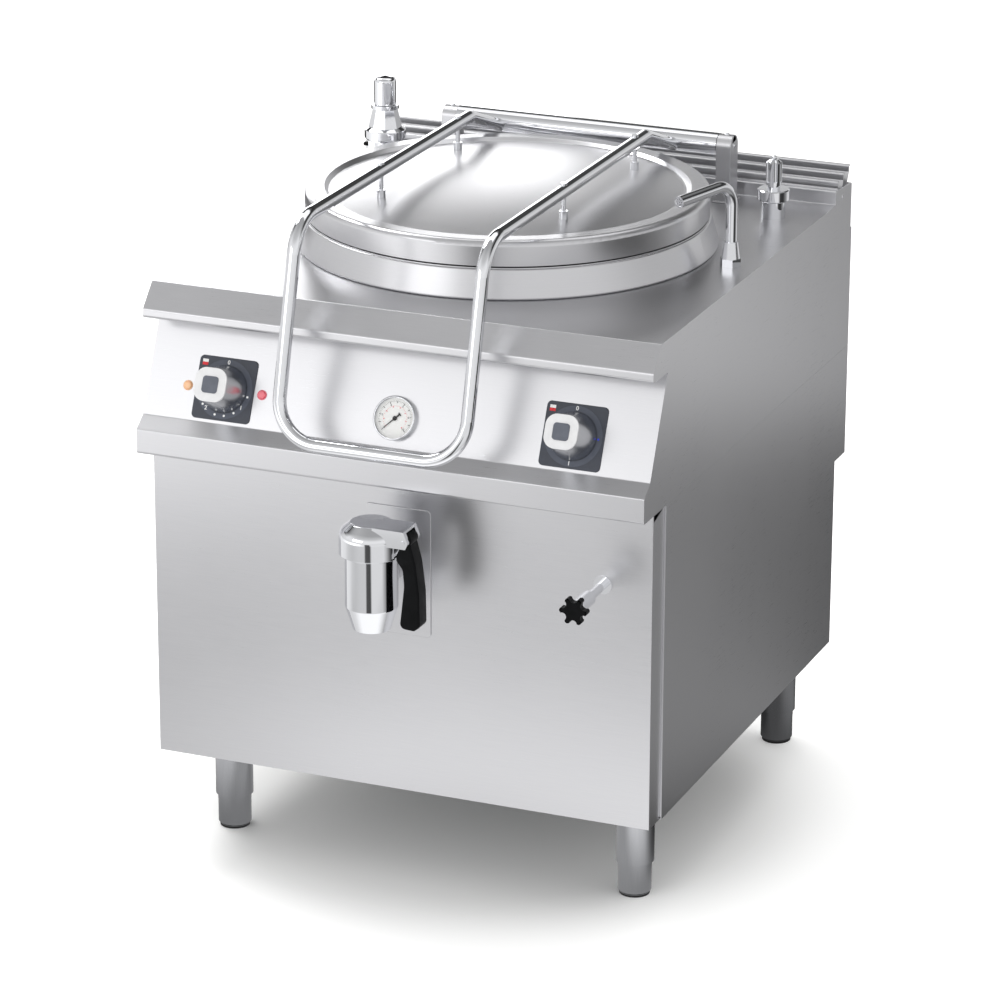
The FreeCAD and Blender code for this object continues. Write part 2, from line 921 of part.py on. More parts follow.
def control_panel():
    folds = [(nose_return, nose_under_z, 0), (slope_end_y, nose_under_z, 0),
             (slope_low_y, slope_low_z, slope_round), (band_y, band_top_z, slope_round),
             (band_y, band_low_z, band_low_round), (band_return, band_low_z, 0)]
    panel = folded_sheet(folds[::-1], sheet, -inner_half, inner_half)
    for side in (-1, 1):
        hole = on_slope(rod(knob_shaft_hole, (0, 0, -flange), (0, 0, flange)), side * knob_x, knob_up)
        panel = panel.cut(hole)
    for side in (-1, 1):
        hole = on_slope(rod(lamp_barrel_radius + seam_gap, (0, 0, -flange), (0, 0, flange)),
                        -knob_x + side * lamp_offset, lamp_up)
        panel = panel.cut(hole)
    gauge_hole = on_slope(rod(gauge_case_radius + seam_gap, (0, 0, -flange), (0, 0, flange)), 0, gauge_up)
    return panel.cut(gauge_hole)


# Vessel and jacket

def collar():
    foot = worktop_height
    outer = [(collar_seat_radius, foot, 0), (collar_foot_radius, foot, collar_round),
             (collar_top_radius, rim_z, collar_round),
             (vessel_radius + vessel_wall + seam_gap, rim_z, 0),
             (vessel_radius + vessel_wall + seam_gap, rim_z - collar_wall, 0),
             (collar_top_radius - collar_wall, rim_z - collar_wall, 0),
             (collar_foot_radius - collar_wall * 2, foot + collar_wall, 0),
             (collar_seat_radius, foot + collar_wall, 0)]
    return turned(outer, 0, kettle_y)


def vessel():
    outer = vessel_radius + vessel_wall
    low = vessel_floor - vessel_wall
    profile = [(0, low, 0), (outer, low, vessel_dish + vessel_wall), (outer, rim_z, 0),
               (rim_radius, rim_z, 0),
               (rim_radius, rim_z + vessel_wall, rim_round), (vessel_radius, rim_z + vessel_wall, rim_round),
               (vessel_radius, vessel_floor, vessel_dish), (0, vessel_floor, 0)]
    shell = turned(profile, 0, kettle_y)
    start = (0, kettle_y - vessel_radius + drain_pipe_radius, drain_pipe_z)
    end = (0, drain_axis_y + drain_radius - vessel_wall, drain_pipe_z)
    inside = rod(vessel_radius, (0, kettle_y, vessel_floor), (0, kettle_y, rim_z))
    stub = rod(drain_pipe_radius, start, end).cut(inside)
    bore = rod(drain_pipe_bore, start, end)
    return joined([shell, stub]).cut(bore)


def jacket():
    wall = vessel_wall
    outer = jacket_radius + wall
    touch = vessel_radius + wall + weld_gap
    profile = [(0, jacket_floor, 0), (outer, jacket_floor, vessel_dish), (outer, jacket_top, 0),
               (touch, jacket_top, 0), (touch, jacket_top - wall, 0), (jacket_radius, jacket_top - wall, 0),
               (jacket_radius, jacket_floor + wall, vessel_dish - wall), (0, jacket_floor + wall, 0)]
    shell = turned(profile, 0, kettle_y)
    front = kettle_y - outer
    drain_hole = rod(drain_pipe_radius + weld_gap, (0, front - flange, drain_pipe_z),
                     (0, kettle_y - vessel_radius, drain_pipe_z))
    element_hole = rod(element_flange_radius - element_flange_lap, (0, element_flange_y, jacket_floor),
                       (0, element_flange_y, jacket_floor + wall))
    return shell.cut(drain_hole).cut(element_hole)


def insulation():
    inner = jacket_radius + vessel_wall + insulation_gap
    outer = inner + insulation_wall
    sleeve = rod(outer, (0, kettle_y, insulation_low), (0, kettle_y, insulation_high))
    sleeve = sleeve.cut(rod(inner, (0, kettle_y, insulation_low), (0, kettle_y, insulation_high)))
    drain_hole = rod(drain_pipe_radius + seam_gap, (0, 0, drain_pipe_z), (0, kettle_y, drain_pipe_z))
    return sleeve.cut(drain_hole).cut(bent_rod(pipe_radius + seam_gap, cock_route()))


def heating_elements():
    under = jacket_floor - element_flange_thickness
    plate = rod(element_flange_radius, (0, element_flange_y, under), (0, element_flange_y, jacket_floor))
    parts = [plate]
    front = element_flange_y - element_reach
    for step in (-1, 0, 1):
        left = step * element_pitch - element_half_width
        right = left + 2 * element_half_width
        bend = element_bend
        route = [((left, element_flange_y, under), 0), ((left, element_flange_y, element_z), bend),
                 ((left, front, element_z), bend), ((right, front, element_z), bend),
                 ((right, element_flange_y, element_z), bend), ((right, element_flange_y, under), 0)]
        parts.append(bent_rod(element_radius, route))
    return joined(parts)


# Pipes behind the panels

def toward_kettle(x, y, radius):
    length = math.hypot(x, y - kettle_y)
    return (x * radius / length, kettle_y + (y - kettle_y) * radius / length)


def jacket_route(x, y):
    inner_x, inner_y = toward_kettle(x, y, jacket_radius + vessel_wall + insulation_gap)
    return [((x, y, worktop_height), 0), ((x, y, jacket_pipe_z), jacket_pipe_bend),
            ((inner_x, inner_y, jacket_pipe_z), 0)]


def cock_route():
    turn_y = kettle_y - cock_turn_back
    inner_x, inner_y = toward_kettle(cock_x, turn_y, jacket_radius + vessel_wall + insulation_gap)
    return [((cock_x, sheet, cock_z), 0), ((cock_x, turn_y, cock_z), flange), ((inner_x, inner_y, cock_z), 0)]


def supply_route():
    turn_y = kettle_y + supply_turn_back
    return [((tap_x, tap_y, worktop_height), 0), ((tap_x, tap_y, supply_z), flange),
            ((tap_x, turn_y - supply_offset_run, supply_z), flange),
            ((supply_back_x, turn_y, supply_z), flange),
            ((supply_back_x, rear_inner - inlet_nut_depth, supply_z), 0)]


def gauge_route():
    tilt = math.radians(slope_tilt)
    depth = gauge_case_depth
    start = (0, slope_low_y + gauge_up * math.cos(tilt) + depth * math.sin(tilt),
             slope_low_z + gauge_up * math.sin(tilt) - depth * math.cos(tilt))
    knee = kettle_y - insulation_radius - gauge_line_radius - rest_gap
    run = knee - start[1]
    second = (0, knee, start[2] - run / math.tan(tilt))
    return [(start, 0), (second, gauge_line_bend), ((0, knee, jacket_pipe_z), gauge_line_bend),
            ((0, kettle_y - jacket_radius - vessel_wall - insulation_gap, jacket_pipe_z), 0)]


def pipework():
    pipes = [bent_tube(pipe_radius, pipe_wall, jacket_route(safety_x, safety_y)),
             bent_tube(pipe_radius, pipe_wall, jacket_route(vent_x, vent_y)),
             bent_tube(pipe_radius, pipe_wall, cock_route()),
             bent_tube(pipe_radius, pipe_wall, supply_route()),
             bent_tube(gauge_line_radius, pipe_wall, gauge_route())]
    return Part.makeCompound([pipe.Solids[0] for pipe in pipes])


def rear_fitting(x, z, radius, bore, flat, nut_depth, reach):
    # a threaded piece through the rear panel with a nut on each side
    body = rod(radius, (x, rear_inner - nut_depth, z), (x, body_back + reach, z))
    nut = hexagon(flat, 0, 0, 0, nut_depth)
    nut.rotate(Vec(0, 0, 0), Vec(1, 0, 0), -90)
    outer_nut = nut.copy()
    outer_nut.translate(Vec(x, body_back, z))
    inner_nut = nut.copy()
    inner_nut.translate(Vec(x, rear_inner - nut_depth, z))
    hole = rod(bore, (x, rear_inner - nut_depth, z), (x, body_back + reach, z))
    return joined([body, outer_nut, inner_nut]).cut(hole)


def water_inlet():
    return rear_fitting(supply_back_x, supply_z, inlet_radius, inlet_bore, inlet_flat,
                        inlet_nut_depth, inlet_reach)


def cable_gland():
    return rear_fitting(gland_x, gland_z, gland_radius, gland_bore, gland_flat, gland_nut_depth, gland_reach)


def control_box():
    shell = block(box_x, box_x + box_width, box_y, box_y + box_depth, tray_top, tray_top + box_height)
    hollow = block(box_x + sheet, box_x + box_width - sheet, box_y + sheet, box_y + box_depth - sheet,
                   tray_top + sheet, tray_top + box_height - sheet)
    return shell.cut(hollow)


# Hinge, lid and handle frame

def hinge_post():
    x0 = post_x - post_thick / 2
    x1 = post_x + post_thick / 2
    half = post_depth / 2
    top = hinge_z + half
    body = side_outline([(hinge_y - half, worktop_height, 0), (hinge_y + half, worktop_height, 0),
                         (hinge_y + half, top, half - post_top_flat),
                         (hinge_y - half, top, half - post_top_flat)], x0, x1)
    foot = block(x0 - post_foot_margin, x1 + post_foot_margin, hinge_y - half - post_foot_margin,
                 hinge_y + half + post_foot_margin, worktop_height, worktop_height + post_foot)
    pin = rod(pin_radius, (x0 - pin_reach, hinge_y, hinge_z), (x0, hinge_y, hinge_z))
    return joined([body, foot, pin])


def hinge_posts():
    right = hinge_post()
    return Part.makeCompound([right, mirrored(right)])


def hinge_bar():
    half = post_x - post_thick / 2 - bar_side_gap
    outer = rod(bar_radius, (-half, hinge_y, hinge_z), (half, hinge_y, hinge_z))
    middle = half - bush_length
    hollow = rod(bar_radius - bar_wall, (-middle, hinge_y, hinge_z), (middle, hinge_y, hinge_z))
    bore = rod(pin_radius + running_gap, (-half, hinge_y, hinge_z), (half, hinge_y, hinge_z))
    return outer.cut(hollow).cut(bore)


def lid_profile(inset):
    # the outer skin of the lid, or its inner face when inset by the sheet
    top = lid_top_z - inset
    groove = lid_groove_z - inset
    return [(lid_radius - inset, lid_low_z, 0), (lid_radius - inset, top, lid_edge_round - inset),
            (lid_band_radius, top, lid_fold_round), (lid_groove_radius, groove, lid_fold_round)]


def lid_solid(inset):
    points = lid_profile(inset)
    start = Vec(0, kettle_y, lid_low_z)
    places = [((0, kettle_y, lid_low_z), 0)]
    for r, z, radius in points:
        places.append(((r, kettle_y, z), radius))
    flat_z = lid_groove_z - inset
    inner = lid_groove_radius - lid_dome_margin
    places.append(((inner, kettle_y, flat_z), 0))
    lower = rounded_edges(places, False)
    sag = lid_dome_z - lid_groove_z
    sphere = (inner * inner + sag * sag) / (2 * sag)
    half_r = inner / 2
    half_z = flat_z + sag - (sphere - math.sqrt(sphere * sphere - half_r * half_r))
    dome = Part.Arc(Vec(inner, kettle_y, flat_z), Vec(half_r, kettle_y, half_z),
                    Vec(0, kettle_y, flat_z + sag)).toShape()
    axis_line = Part.LineSegment(Vec(0, kettle_y, flat_z + sag), start).toShape()
    wire = Part.Wire(lower.Edges + [dome, axis_line])
    return Part.Face(wire).revolve(Vec(0, kettle_y, 0), Vec(0, 0, 1), 360)


def lid_shell():
    return lid_solid(0).cut(lid_solid(lid_sheet))


def lid_liner():
    radius = lid_radius - lid_sheet - rest_gap
    top = liner_z + lid_sheet
    profile = [(0, liner_z, 0), (radius, liner_z, 0), (radius, top, 0), (0, top, 0)]
    return turned(profile, 0, kettle_y)


def lid_gasket():
    low = rim_z + vessel_wall + rest_gap
    profile = [(gasket_inner, low, gasket_round), (gasket_outer, low, gasket_round),
               (gasket_outer, liner_z, 0), (gasket_inner, liner_z, 0)]
    return turned(profile, 0, kettle_y)


def handle_route():
    end_y = hinge_y
    end_z = hinge_z - arm_end_drop
    right = [((arm_x, end_y, end_z), 0), ((arm_x, arm_apex_y, arm_z), apex_bend)]
    right.append(((arm_x, loop_top_y, arm_z), loop_top_bend))
    right.append(((arm_x, loop_low_y, loop_low_z), loop_low_bend))
    left = [((-place[0], place[1], place[2]), bend) for place, bend in right[::-1]]
    return right + left


def handle_frame():
    frame = bent_tube(tube_radius, tube_wall, handle_route())
    bar = rod(bar_radius + weld_gap, (-post_x, hinge_y, hinge_z), (post_x, hinge_y, hinge_z))
    frame = frame.cut(bar)
    biggest = max(frame.Solids, key=lambda solid: solid.Volume)
    return biggest


def lid_studs():
    parts = []
    under = arm_z - tube_radius
    for x in (-arm_x, arm_x):
        for y in (stud_front_y, stud_rear_y):
            bush = rod(stud_radius, (x, y, lid_groove_z), (x, y, lid_groove_z + stud_bush_height))
            pin = rod(stud_pin_radius, (x, y, lid_groove_z), (x, y, under + tube_radius / 2))
            stud = joined([bush, pin]).cut(lid_solid(0))
            stud = stud.cut(rod(tube_radius + weld_gap, (x, y - flange, arm_z), (x, y + flange, arm_z)))
            parts.append(max(stud.Solids, key=lambda solid: solid.Volume))
            head = rod(stud_head_radius, (x, y, arm_z), (x, y, arm_z + tube_radius + stud_head_height))
            head = head.cut(rod(tube_radius + weld_gap, (x, y - flange, arm_z), (x, y + flange, arm_z)))
            parts.append(max(head.Solids, key=lambda solid: solid.CenterOfMass.z))
    return Part.makeCompound(parts)


# Tap, vent and safety valve

def tap_base():
    nut = hexagon(tap_nut_flat, tap_x, tap_y, worktop_height, worktop_height + tap_nut_height)
    nut_top = worktop_height + tap_nut_height
    body = cone(tap_cone_low_radius, tap_cone_top_radius, tap_x, tap_y, nut_top, tap_cone_top)
    neck = rod(tap_neck_radius, (tap_x, tap_y, worktop_height), (tap_x, tap_y, tap_socket_z))
    whole = joined([nut, body, neck])
    socket = rod(spout_radius + running_gap, (tap_x, tap_y, tap_socket_z), (tap_x, tap_y, tap_cone_top))
    way = rod(pipe_radius - pipe_wall, (tap_x, tap_y, worktop_height), (tap_x, tap_y, tap_socket_z))
    return whole.cut(socket).cut(way)


def spout():
    top = worktop_height + spout_height
    tip = (tap_x - spout_reach_in, tap_y - spout_reach_ahead, top - spout_droop)
    route = [((tap_x, tap_y, tap_socket_z + seam_gap), 0), ((tap_x, tap_y, top), spout_bend),
             (tip, 0)]
    return bent_tube(spout_radius, spout_wall, route).Solids[0]


def vent_base():
    collar_low = worktop_height + vent_base_height
    collar_top = collar_low + vent_collar_height
    neck_top = collar_top + vent_neck_height
    base = rod(vent_base_radius, (vent_x, vent_y, worktop_height), (vent_x, vent_y, collar_low))
    wide = rod(vent_collar_radius, (vent_x, vent_y, collar_low), (vent_x, vent_y, collar_top))
    rims = [edge for edge in wide.Edges if edge.BoundBox.ZLength < weld_gap]
    wide = wide.makeChamfer(vent_collar_bevel, rims)
    neck = rod(vent_neck_radius, (vent_x, vent_y, collar_top), (vent_x, vent_y, neck_top))
    whole = joined([base, wide, neck])
    socket = rod(vent_stem_radius + running_gap, (vent_x, vent_y, neck_top - vent_stem_length),
                 (vent_x, vent_y, neck_top))
    return whole.cut(socket)


def vent_cap():
    low = worktop_height + vent_base_height + vent_collar_height + vent_neck_height + rest_gap
    top = low + vent_cap_height
    shoulder = top - vent_crown_height
    body = rod(vent_cap_radius, (vent_x, vent_y, low), (vent_x, vent_y, shoulder))
    crown = cone(vent_cap_radius, vent_crown_radius, vent_x, vent_y, shoulder, top)
    ball = Part.makeSphere(vent_ball_radius, Vec(vent_x, vent_y, top + vent_ball_rise))
    whole = joined([body, crown])
    for step in range(vent_flutes):
        angle = math.radians(360.0 * step / vent_flutes)
        x = vent_x + (vent_cap_radius + vent_flute_out) * math.cos(angle)
        y = vent_y + (vent_cap_radius + vent_flute_out) * math.sin(angle)
        whole = whole.cut(rod(vent_flute_radius, (x, y, low + vent_flute_low), (x, y, top)))
    stem = rod(vent_stem_radius, (vent_x, vent_y, low - vent_stem_length + stem_room), (vent_x, vent_y, low))
    return joined([whole, ball, stem])


def faceted_cone(low_flat, top_flat, x, y, low, high, sides):
    wires = []
    for flat, z in ((low_flat, low), (top_flat, high)):
        corners = []
        for step in range(sides):
            angle = 2 * math.pi * (step + 0.5) / sides
            corners.append(Vec(x + flat * math.cos(angle), y + flat * math.sin(angle), z))
        wires.append(Part.makePolygon(corners + corners[:1]))
    return Part.makeLoft(wires, True, True)


def safety_base():
    x = safety_x
    y = safety_y
    nut = hexagon(safety_nut_flat, x, y, worktop_height, worktop_height + safety_nut_height)
    neck = rod(safety_neck_radius, (x, y, worktop_height), (x, y, safety_ring_low))
    bevel = safety_ring_bevel
    ring = turned([(0, safety_ring_low, 0), (safety_ring_radius - bevel, safety_ring_low, safety_ring_round),
                   (safety_ring_radius, safety_ring_low + bevel, safety_ring_round),
                   (safety_ring_radius, safety_ring_top - bevel, safety_ring_round),
                   (safety_cone_low_radius, safety_ring_top, 0), (0, safety_ring_top, 0)], x, y)
    body = faceted_cone(safety_cone_low_radius, safety_cone_top_radius, x, y,
                        safety_ring_top, safety_cone_top, safety_facets)
    top = rod(safety_flange_radius, (x, y, safety_cone_top), (x, y, safety_flange_top))
    ears = []
    low = lever_pivot_z - ear_height / 2
    out = lever_pivot_x
    for side in (-1, 1):
        near = y + side * (lever_width / 2 + ear_gap)
        far = near + side * ear_thick
        ears.append(block(out - ear_out, x - safety_neck_radius + ear_sink,
                          min(near, far), max(near, far), low, low + ear_height))
    pin = rod(ear_pin_radius, (out, y - lever_width / 2 - ear_gap - ear_thick, lever_pivot_z),
              (out, y + lever_width / 2 + ear_gap + ear_thick, lever_pivot_z))
    whole = joined([nut, neck, ring, body, top] + ears + [pin])
    bore = rod(safety_stem_radius + running_gap, (x, y, safety_flange_top - safety_stem_depth - stem_room),
               (x, y, safety_flange_top))
    way = rod(pipe_radius - pipe_wall, (x, y, worktop_height),
              (x, y, safety_flange_top - safety_stem_depth - stem_room))
    return whole.cut(bore).cut(way)


def safety_cap():
    x = safety_x
    y = safety_y
    body = turned([(0, safety_cap_low, 0), (safety_cap_radius, safety_cap_low, safety_cap_edge),
                   (safety_cap_radius, safety_cap_top - safety_cap_shoulder, safety_cap_round),
                   (0, safety_cap_top, 0)], x, y)
    stem = rod(safety_stem_radius, (x, y, safety_flange_top - safety_stem_depth), (x, y, safety_cap_low))
    return joined([body, stem])


def safety_lever():
    x = lever_pivot_x
    y0 = safety_y - lever_width / 2
    y1 = safety_y + lever_width / 2
    z = lever_pivot_z
    low = z - lever_nose
    back = z + lever_back_rise
    body = front_outline([(x + lever_nose, low, 0), (x + lever_nose, back, 0),
                          (x - lever_crest_out, z + lever_height / 2, lever_round),
                          (x - lever_reach, back, lever_round), (x - lever_reach, low, lever_round)], y0, y1)
    hole = rod(ear_pin_radius + running_gap, (x, y0, z), (x, y1, z))
    return body.cut(hole)


# Knobs, lamps and gauge

def knob_plates():
    plate = rounded_square(knob_plate_side, knob_plate_round, 0, knob_plate_thick)
    plate = plate.cut(rod(knob_shaft_hole, (0, 0, 0), (0, 0, knob_plate_thick)))
    return Part.makeCompound([on_slope(plate, side * knob_x, knob_up) for side in (-1, 1)])


def knob_skirt(side):
    low = knob_plate_thick + knob_foot_gap
    high = knob_height
    circle = Part.Wire(Part.makeCircle(knob_skirt_radius, Vec(0, 0, low), Vec(0, 0, 1)))
    half = knob_face_side / 2
    corners = [(half, half), (-half, half), (-half, -half), (half, -half)]
    square = rounded_edges([((x, y, high), knob_face_round) for x, y in corners], True)
    body = Part.makeLoft([circle, square], True, False)
    shaft = rod(knob_shaft_radius, (0, 0, -knob_shaft_reach), (0, 0, low + knob_shaft_sink))
    return on_slope(joined([body, shaft]), side * knob_x, knob_up)


def knob_face(side):
    low = knob_height
    high = low + knob_face_thick
    ring = rounded_square(knob_face_side, knob_face_round, low, high)
    hollow = rounded_square(knob_cap_side, knob_cap_round, low, high)
    cap = rounded_square(knob_cap_side - 2 * weld_gap, knob_cap_round, low, high + knob_cap_rise)
    return on_slope(Part.makeCompound([ring.cut(hollow), cap]), side * knob_x, knob_up)


def switch_blocks():
    parts = []
    half = switch_side / 2
    top = -sheet
    for side in (-1, 1):
        body = block(-half, half, -half, half, top - switch_depth, top)
        bore = rod(knob_shaft_radius + running_gap, (0, 0, -knob_shaft_reach - stem_room), (0, 0, top))
        parts.append(on_slope(body.cut(bore), side * knob_x, knob_up))
    return Part.makeCompound(parts)


def lamp(side):
    barrel = rod(lamp_barrel_radius, (0, 0, -lamp_barrel_depth), (0, 0, 0))
    bezel = rod(lamp_bezel, (0, 0, 0), (0, 0, lamp_bezel_thick))
    profile = [(0, lamp_bezel_thick, 0), (lamp_radius, lamp_bezel_thick, 0),
               (lamp_radius, lamp_rise, lamp_round), (0, lamp_rise, 0)]
    lens = turned(profile, 0, 0)
    return on_slope(joined([barrel, bezel, lens]), -knob_x + side * lamp_offset, lamp_up)


def gauge_case():
    inner = gauge_dial_radius
    body = rod(gauge_case_radius, (0, 0, -gauge_case_depth), (0, 0, 0))
    bezel = turned([(0, 0, 0), (gauge_radius, 0, 0), (gauge_radius, gauge_bezel_height, gauge_bezel_round),
                    (inner, gauge_bezel_height, gauge_lip_round), (inner, gauge_dial_height, 0),
                    (0, gauge_dial_height, 0)], 0, 0)
    groove_low = gauge_glass_height
    groove_top = groove_low + gauge_glass_thick + 2 * weld_gap
    groove = rod(inner + gauge_groove, (0, 0, groove_low), (0, 0, groove_top))
    hole = rod(gauge_spindle_radius + running_gap, (0, 0, -gauge_spindle_reach - stem_room),
               (0, 0, gauge_dial_height))
    return on_slope(joined([body, bezel]).cut(groove).cut(hole), 0, gauge_up)


def gauge_glass():
    radius = gauge_dial_radius + gauge_groove - weld_gap
    low = gauge_glass_height + weld_gap
    return on_slope(rod(radius, (0, 0, low), (0, 0, low + gauge_glass_thick)), 0, gauge_up)


def gauge_needle():
    low = gauge_needle_height
    high = low + gauge_needle_thick
    half = gauge_needle_half
    tip = gauge_tip_half
    tail = -gauge_needle_tail
    hand = flat_outline([(tail, -half, gauge_tail_round), (0, -half, 0), (gauge_needle_tip, -tip, 0),
                         (gauge_needle_tip, tip, 0), (0, half, 0), (tail, half, gauge_tail_round)], low, high)
    hub = rod(gauge_hub_radius, (0, 0, low - gauge_hub_low), (0, 0, high + gauge_hub_high))
    spindle = rod(gauge_spindle_radius, (0, 0, -gauge_spindle_reach), (0, 0, low))
    needle = joined([hand, hub, spindle])
    needle.rotate(Vec(0, 0, 0), Vec(0, 0, 1), gauge_hand_angle)
    return on_slope(needle, 0, gauge_up)


# Drain valve

def drain_plate():
    half = drain_plate_width / 2
    low = drain_z - drain_plate_height / 2
    high = drain_z + drain_plate_height / 2
    bend = drain_plate_round
    plate = front_outline([(half, low, bend), (half, high, bend), (-half, high, bend), (-half, low, bend)],
                          -drain_plate_thick, 0)
    hole = rod(drain_pipe_radius + drain_neck_gap, (0, -drain_plate_thick, drain_pipe_z),
               (0, 0, drain_pipe_z))
    return plate.cut(hole)


def drain_body():
    y = drain_axis_y
    outer = turned([(0, drain_cone_low_z, 0), (drain_cone_low_radius, drain_cone_low_z, 0),
                    (drain_radius, drain_cone_top_z, drain_round), (drain_radius, drain_body_top_z, 0),
                    (0, drain_body_top_z, 0)], 0, y)
    bore = rod(drain_bore, (0, y, piston_seat_z), (0, y, drain_body_top_z - drain_lid_thick))
    stem_way = rod(piston_stem_radius + running_gap, (0, y, drain_body_top_z - drain_lid_thick),
                   (0, y, drain_body_top_z))
    outlet = rod(drain_outlet_radius, (0, y, drain_cone_low_z), (0, y, piston_seat_z))
    neck_start = y + drain_radius - drain_neck_bite
    neck = rod(drain_pipe_radius + weld_gap, (0, neck_start, drain_pipe_z), (0, sheet, drain_pipe_z))
    side_port = rod(drain_pipe_bore, (0, y, drain_pipe_z), (0, sheet, drain_pipe_z))
    return outer.cut(bore).cut(stem_way).cut(outlet).cut(neck).cut(side_port)


def drain_cap():
    y = drain_axis_y
    low = drain_body_top_z
    dome = turned([(0, low, 0), (drain_cap_radius, low - drain_cap_skirt, drain_cap_edge),
                   (drain_cap_radius, drain_cap_shoulder_z, drain_cap_shoulder_round),
                   (drain_cap_crown_radius, drain_cap_top_z, drain_cap_crown_round),
                   (0, drain_cap_top_z + drain_cap_crown_rise, 0)], 0, y)
    inner = drain_radius + weld_gap
    band = turned([(inner, drain_cap_band_z, 0), (drain_cap_band, drain_cap_band_z, drain_band_edge),
                   (drain_cap_band, low, 0), (inner, low, 0)], 0, y)
    sealing = rod(inner, (0, y, drain_cap_band_z), (0, y, low))
    cheek_shape = []
    for y0 in (bracket_front, bracket_back - bracket_cheek):
        cheek_shape.append(front_outline([(bracket_start_x, bracket_low, 0),
                                          (bracket_end_x + bracket_foot_out, bracket_low, bracket_round),
                                          (bracket_end_x + bracket_swell, bracket_low + bracket_bevel,
                                           bracket_swell_round),
                                          (bracket_end_x, bracket_top_front, 0),
                                          (bracket_start_x, bracket_top_front, 0)], y0, y0 + bracket_cheek))
    plate_low = bracket_top_front - bracket_plate
    top = side_outline([(bracket_front, plate_low, 0), (bracket_back, plate_low, 0),
                        (bracket_back, bracket_top_back, 0), (bracket_front, bracket_top_front, 0)],
                       bracket_start_x, bracket_end_x)
    pin = rod(drain_pin_radius, (drain_pivot_x, bracket_front - pin_head_rise, drain_pivot_z),
              (drain_pivot_x, bracket_back, drain_pivot_z))
    room_top = piston_stem_top + piston_lift + piston_room
    room = rod(piston_stem_radius + stem_room, (0, y, low), (0, y, room_top))
    whole = joined([dome, band] + cheek_shape + [top, pin]).cut(room).cut(sealing)
    arm_room = block(drain_cap_radius - bracket_room_in, bracket_end_x, bracket_front + bracket_cheek,
                     bracket_back - bracket_cheek, bracket_low - bracket_room_low, plate_low)
    arm_room = arm_room.cut(rod(drain_pin_radius, (drain_pivot_x, bracket_front, drain_pivot_z),
                                (drain_pivot_x, bracket_back, drain_pivot_z)))
    whole = whole.cut(arm_room)
    return max(whole.Solids, key=lambda solid: solid.Volume)


def drain_piston():
    y = drain_axis_y
    low = piston_seat_z + seam_gap
    disc = rod(piston_radius, (0, y, low), (0, y, low + piston_thick))
    stem = rod(piston_stem_radius, (0, y, low), (0, y, piston_stem_top))
    return joined([disc, stem])


def drain_lever():
    x = drain_pivot_x
    z = drain_pivot_z
    y0 = bracket_front + bracket_cheek + ear_gap
    y1 = bracket_back - bracket_cheek - ear_gap
    head = rod(lever_head_radius, (x, y0, z), (x, y1, z))
    tip_z = z - lever_length
    cam_low = z - lever_cam_drop
    blade = front_outline([(x, z + lever_crown_rise, 0),
                           (x + lever_crown_out, z + lever_crown_rise, lever_shoulder_round),
                           (x + lever_waist_out, z - lever_waist_drop, lever_outer_sweep),
                           (x + lever_belly_out, z - lever_belly_drop, lever_belly_sweep),
                           (x + lever_tip_out, tip_z + lever_tip_rise, lever_corner_round),
                           (x + lever_tip_in, tip_z, lever_tip_round),
                           (x - lever_heel_in, tip_z + lever_heel_rise, lever_heel_round),
                           (x - lever_inner_in, z - lever_inner_drop, lever_inner_sweep),
                           (x - lever_throat_in, z - lever_throat_drop, lever_throat_round),
                           (x - lever_cam_in, cam_low, lever_cam_round),
                           (x - lever_cam_in, cam_low + lever_cam_height, lever_cam_round)], y0, y1)
    body = joined([head, blade])
    rims = [edge for edge in body.Edges if edge.BoundBox.YLength < weld_gap and edge.Length > lever_rim_least]
    body = body.makeFillet(lever_edge_round, rims)
    return body.cut(rod(drain_pin_radius + running_gap, (x, y0, z), (x, y1, z)))


# Level cock

def level_cock():
    x = cock_x
    z = cock_z
    washer = rod(cock_collar_radius, (x, -cock_collar_thick, z), (x, 0, z))
    stem = rod(cock_stem_radius, (x, cock_stem_end, z), (x, sheet, z))
    bush = rod(cock_bush_radius, (x, cock_bush_end, z), (x, cock_stem_end, z))
    rims = [edge for edge in bush.Edges if edge.BoundBox.YLength < weld_gap]
    bush = bush.makeChamfer(cock_bush_bevel, rims)
    whole = joined([washer, stem, bush])
    bore_end = cock_bush_end + star_spindle_reach + stem_room
    bore = rod(star_spindle_radius + running_gap, (x, cock_bush_end, z), (x, bore_end, z))
    way = rod(cock_way_radius, (x, bore_end, z), (x, sheet, z))
    return whole.cut(bore).cut(way)


def star_knob():
    x = cock_x
    z = cock_z
    back = cock_bush_end - star_gap
    front = back - star_thick
    body = rod(star_waist, (0, front, 0), (0, back, 0))
    for step in range(star_lobes):
        angle = math.radians(360.0 * step / star_lobes)
        reach = star_radius - star_lobe_radius
        lobe = rod(star_lobe_radius, (reach * math.cos(angle), front, reach * math.sin(angle)),
                   (reach * math.cos(angle), back, reach * math.sin(angle)))
        body = body.fuse(lobe)
    for step in range(star_lobes):
        angle = math.radians(360.0 * (step + 0.5) / star_lobes)
        reach = star_waist + star_scoop_out
        body = body.cut(rod(star_scoop_radius, (reach * math.cos(angle), front, reach * math.sin(angle)),
                            (reach * math.cos(angle), back, reach * math.sin(angle))))
    hub = rod(star_hub_radius, (0, back, 0), (0, cock_bush_end - rest_gap, 0))
    spindle_end = cock_bush_end + star_spindle_reach
    spindle = rod(star_spindle_radius, (0, front + star_spindle_sink, 0), (0, spindle_end, 0))
    whole = joined([body, hub, spindle])
    whole.translate(Vec(x, 0, z))
    return whole


# Legs and feet

def leg_places():
    return {"front_left": (-leg_x, leg_front_y), "front_right": (leg_x, leg_front_y),
            "rear_left": (-leg_x, leg_rear_y), "rear_right": (leg_x, leg_rear_y)}


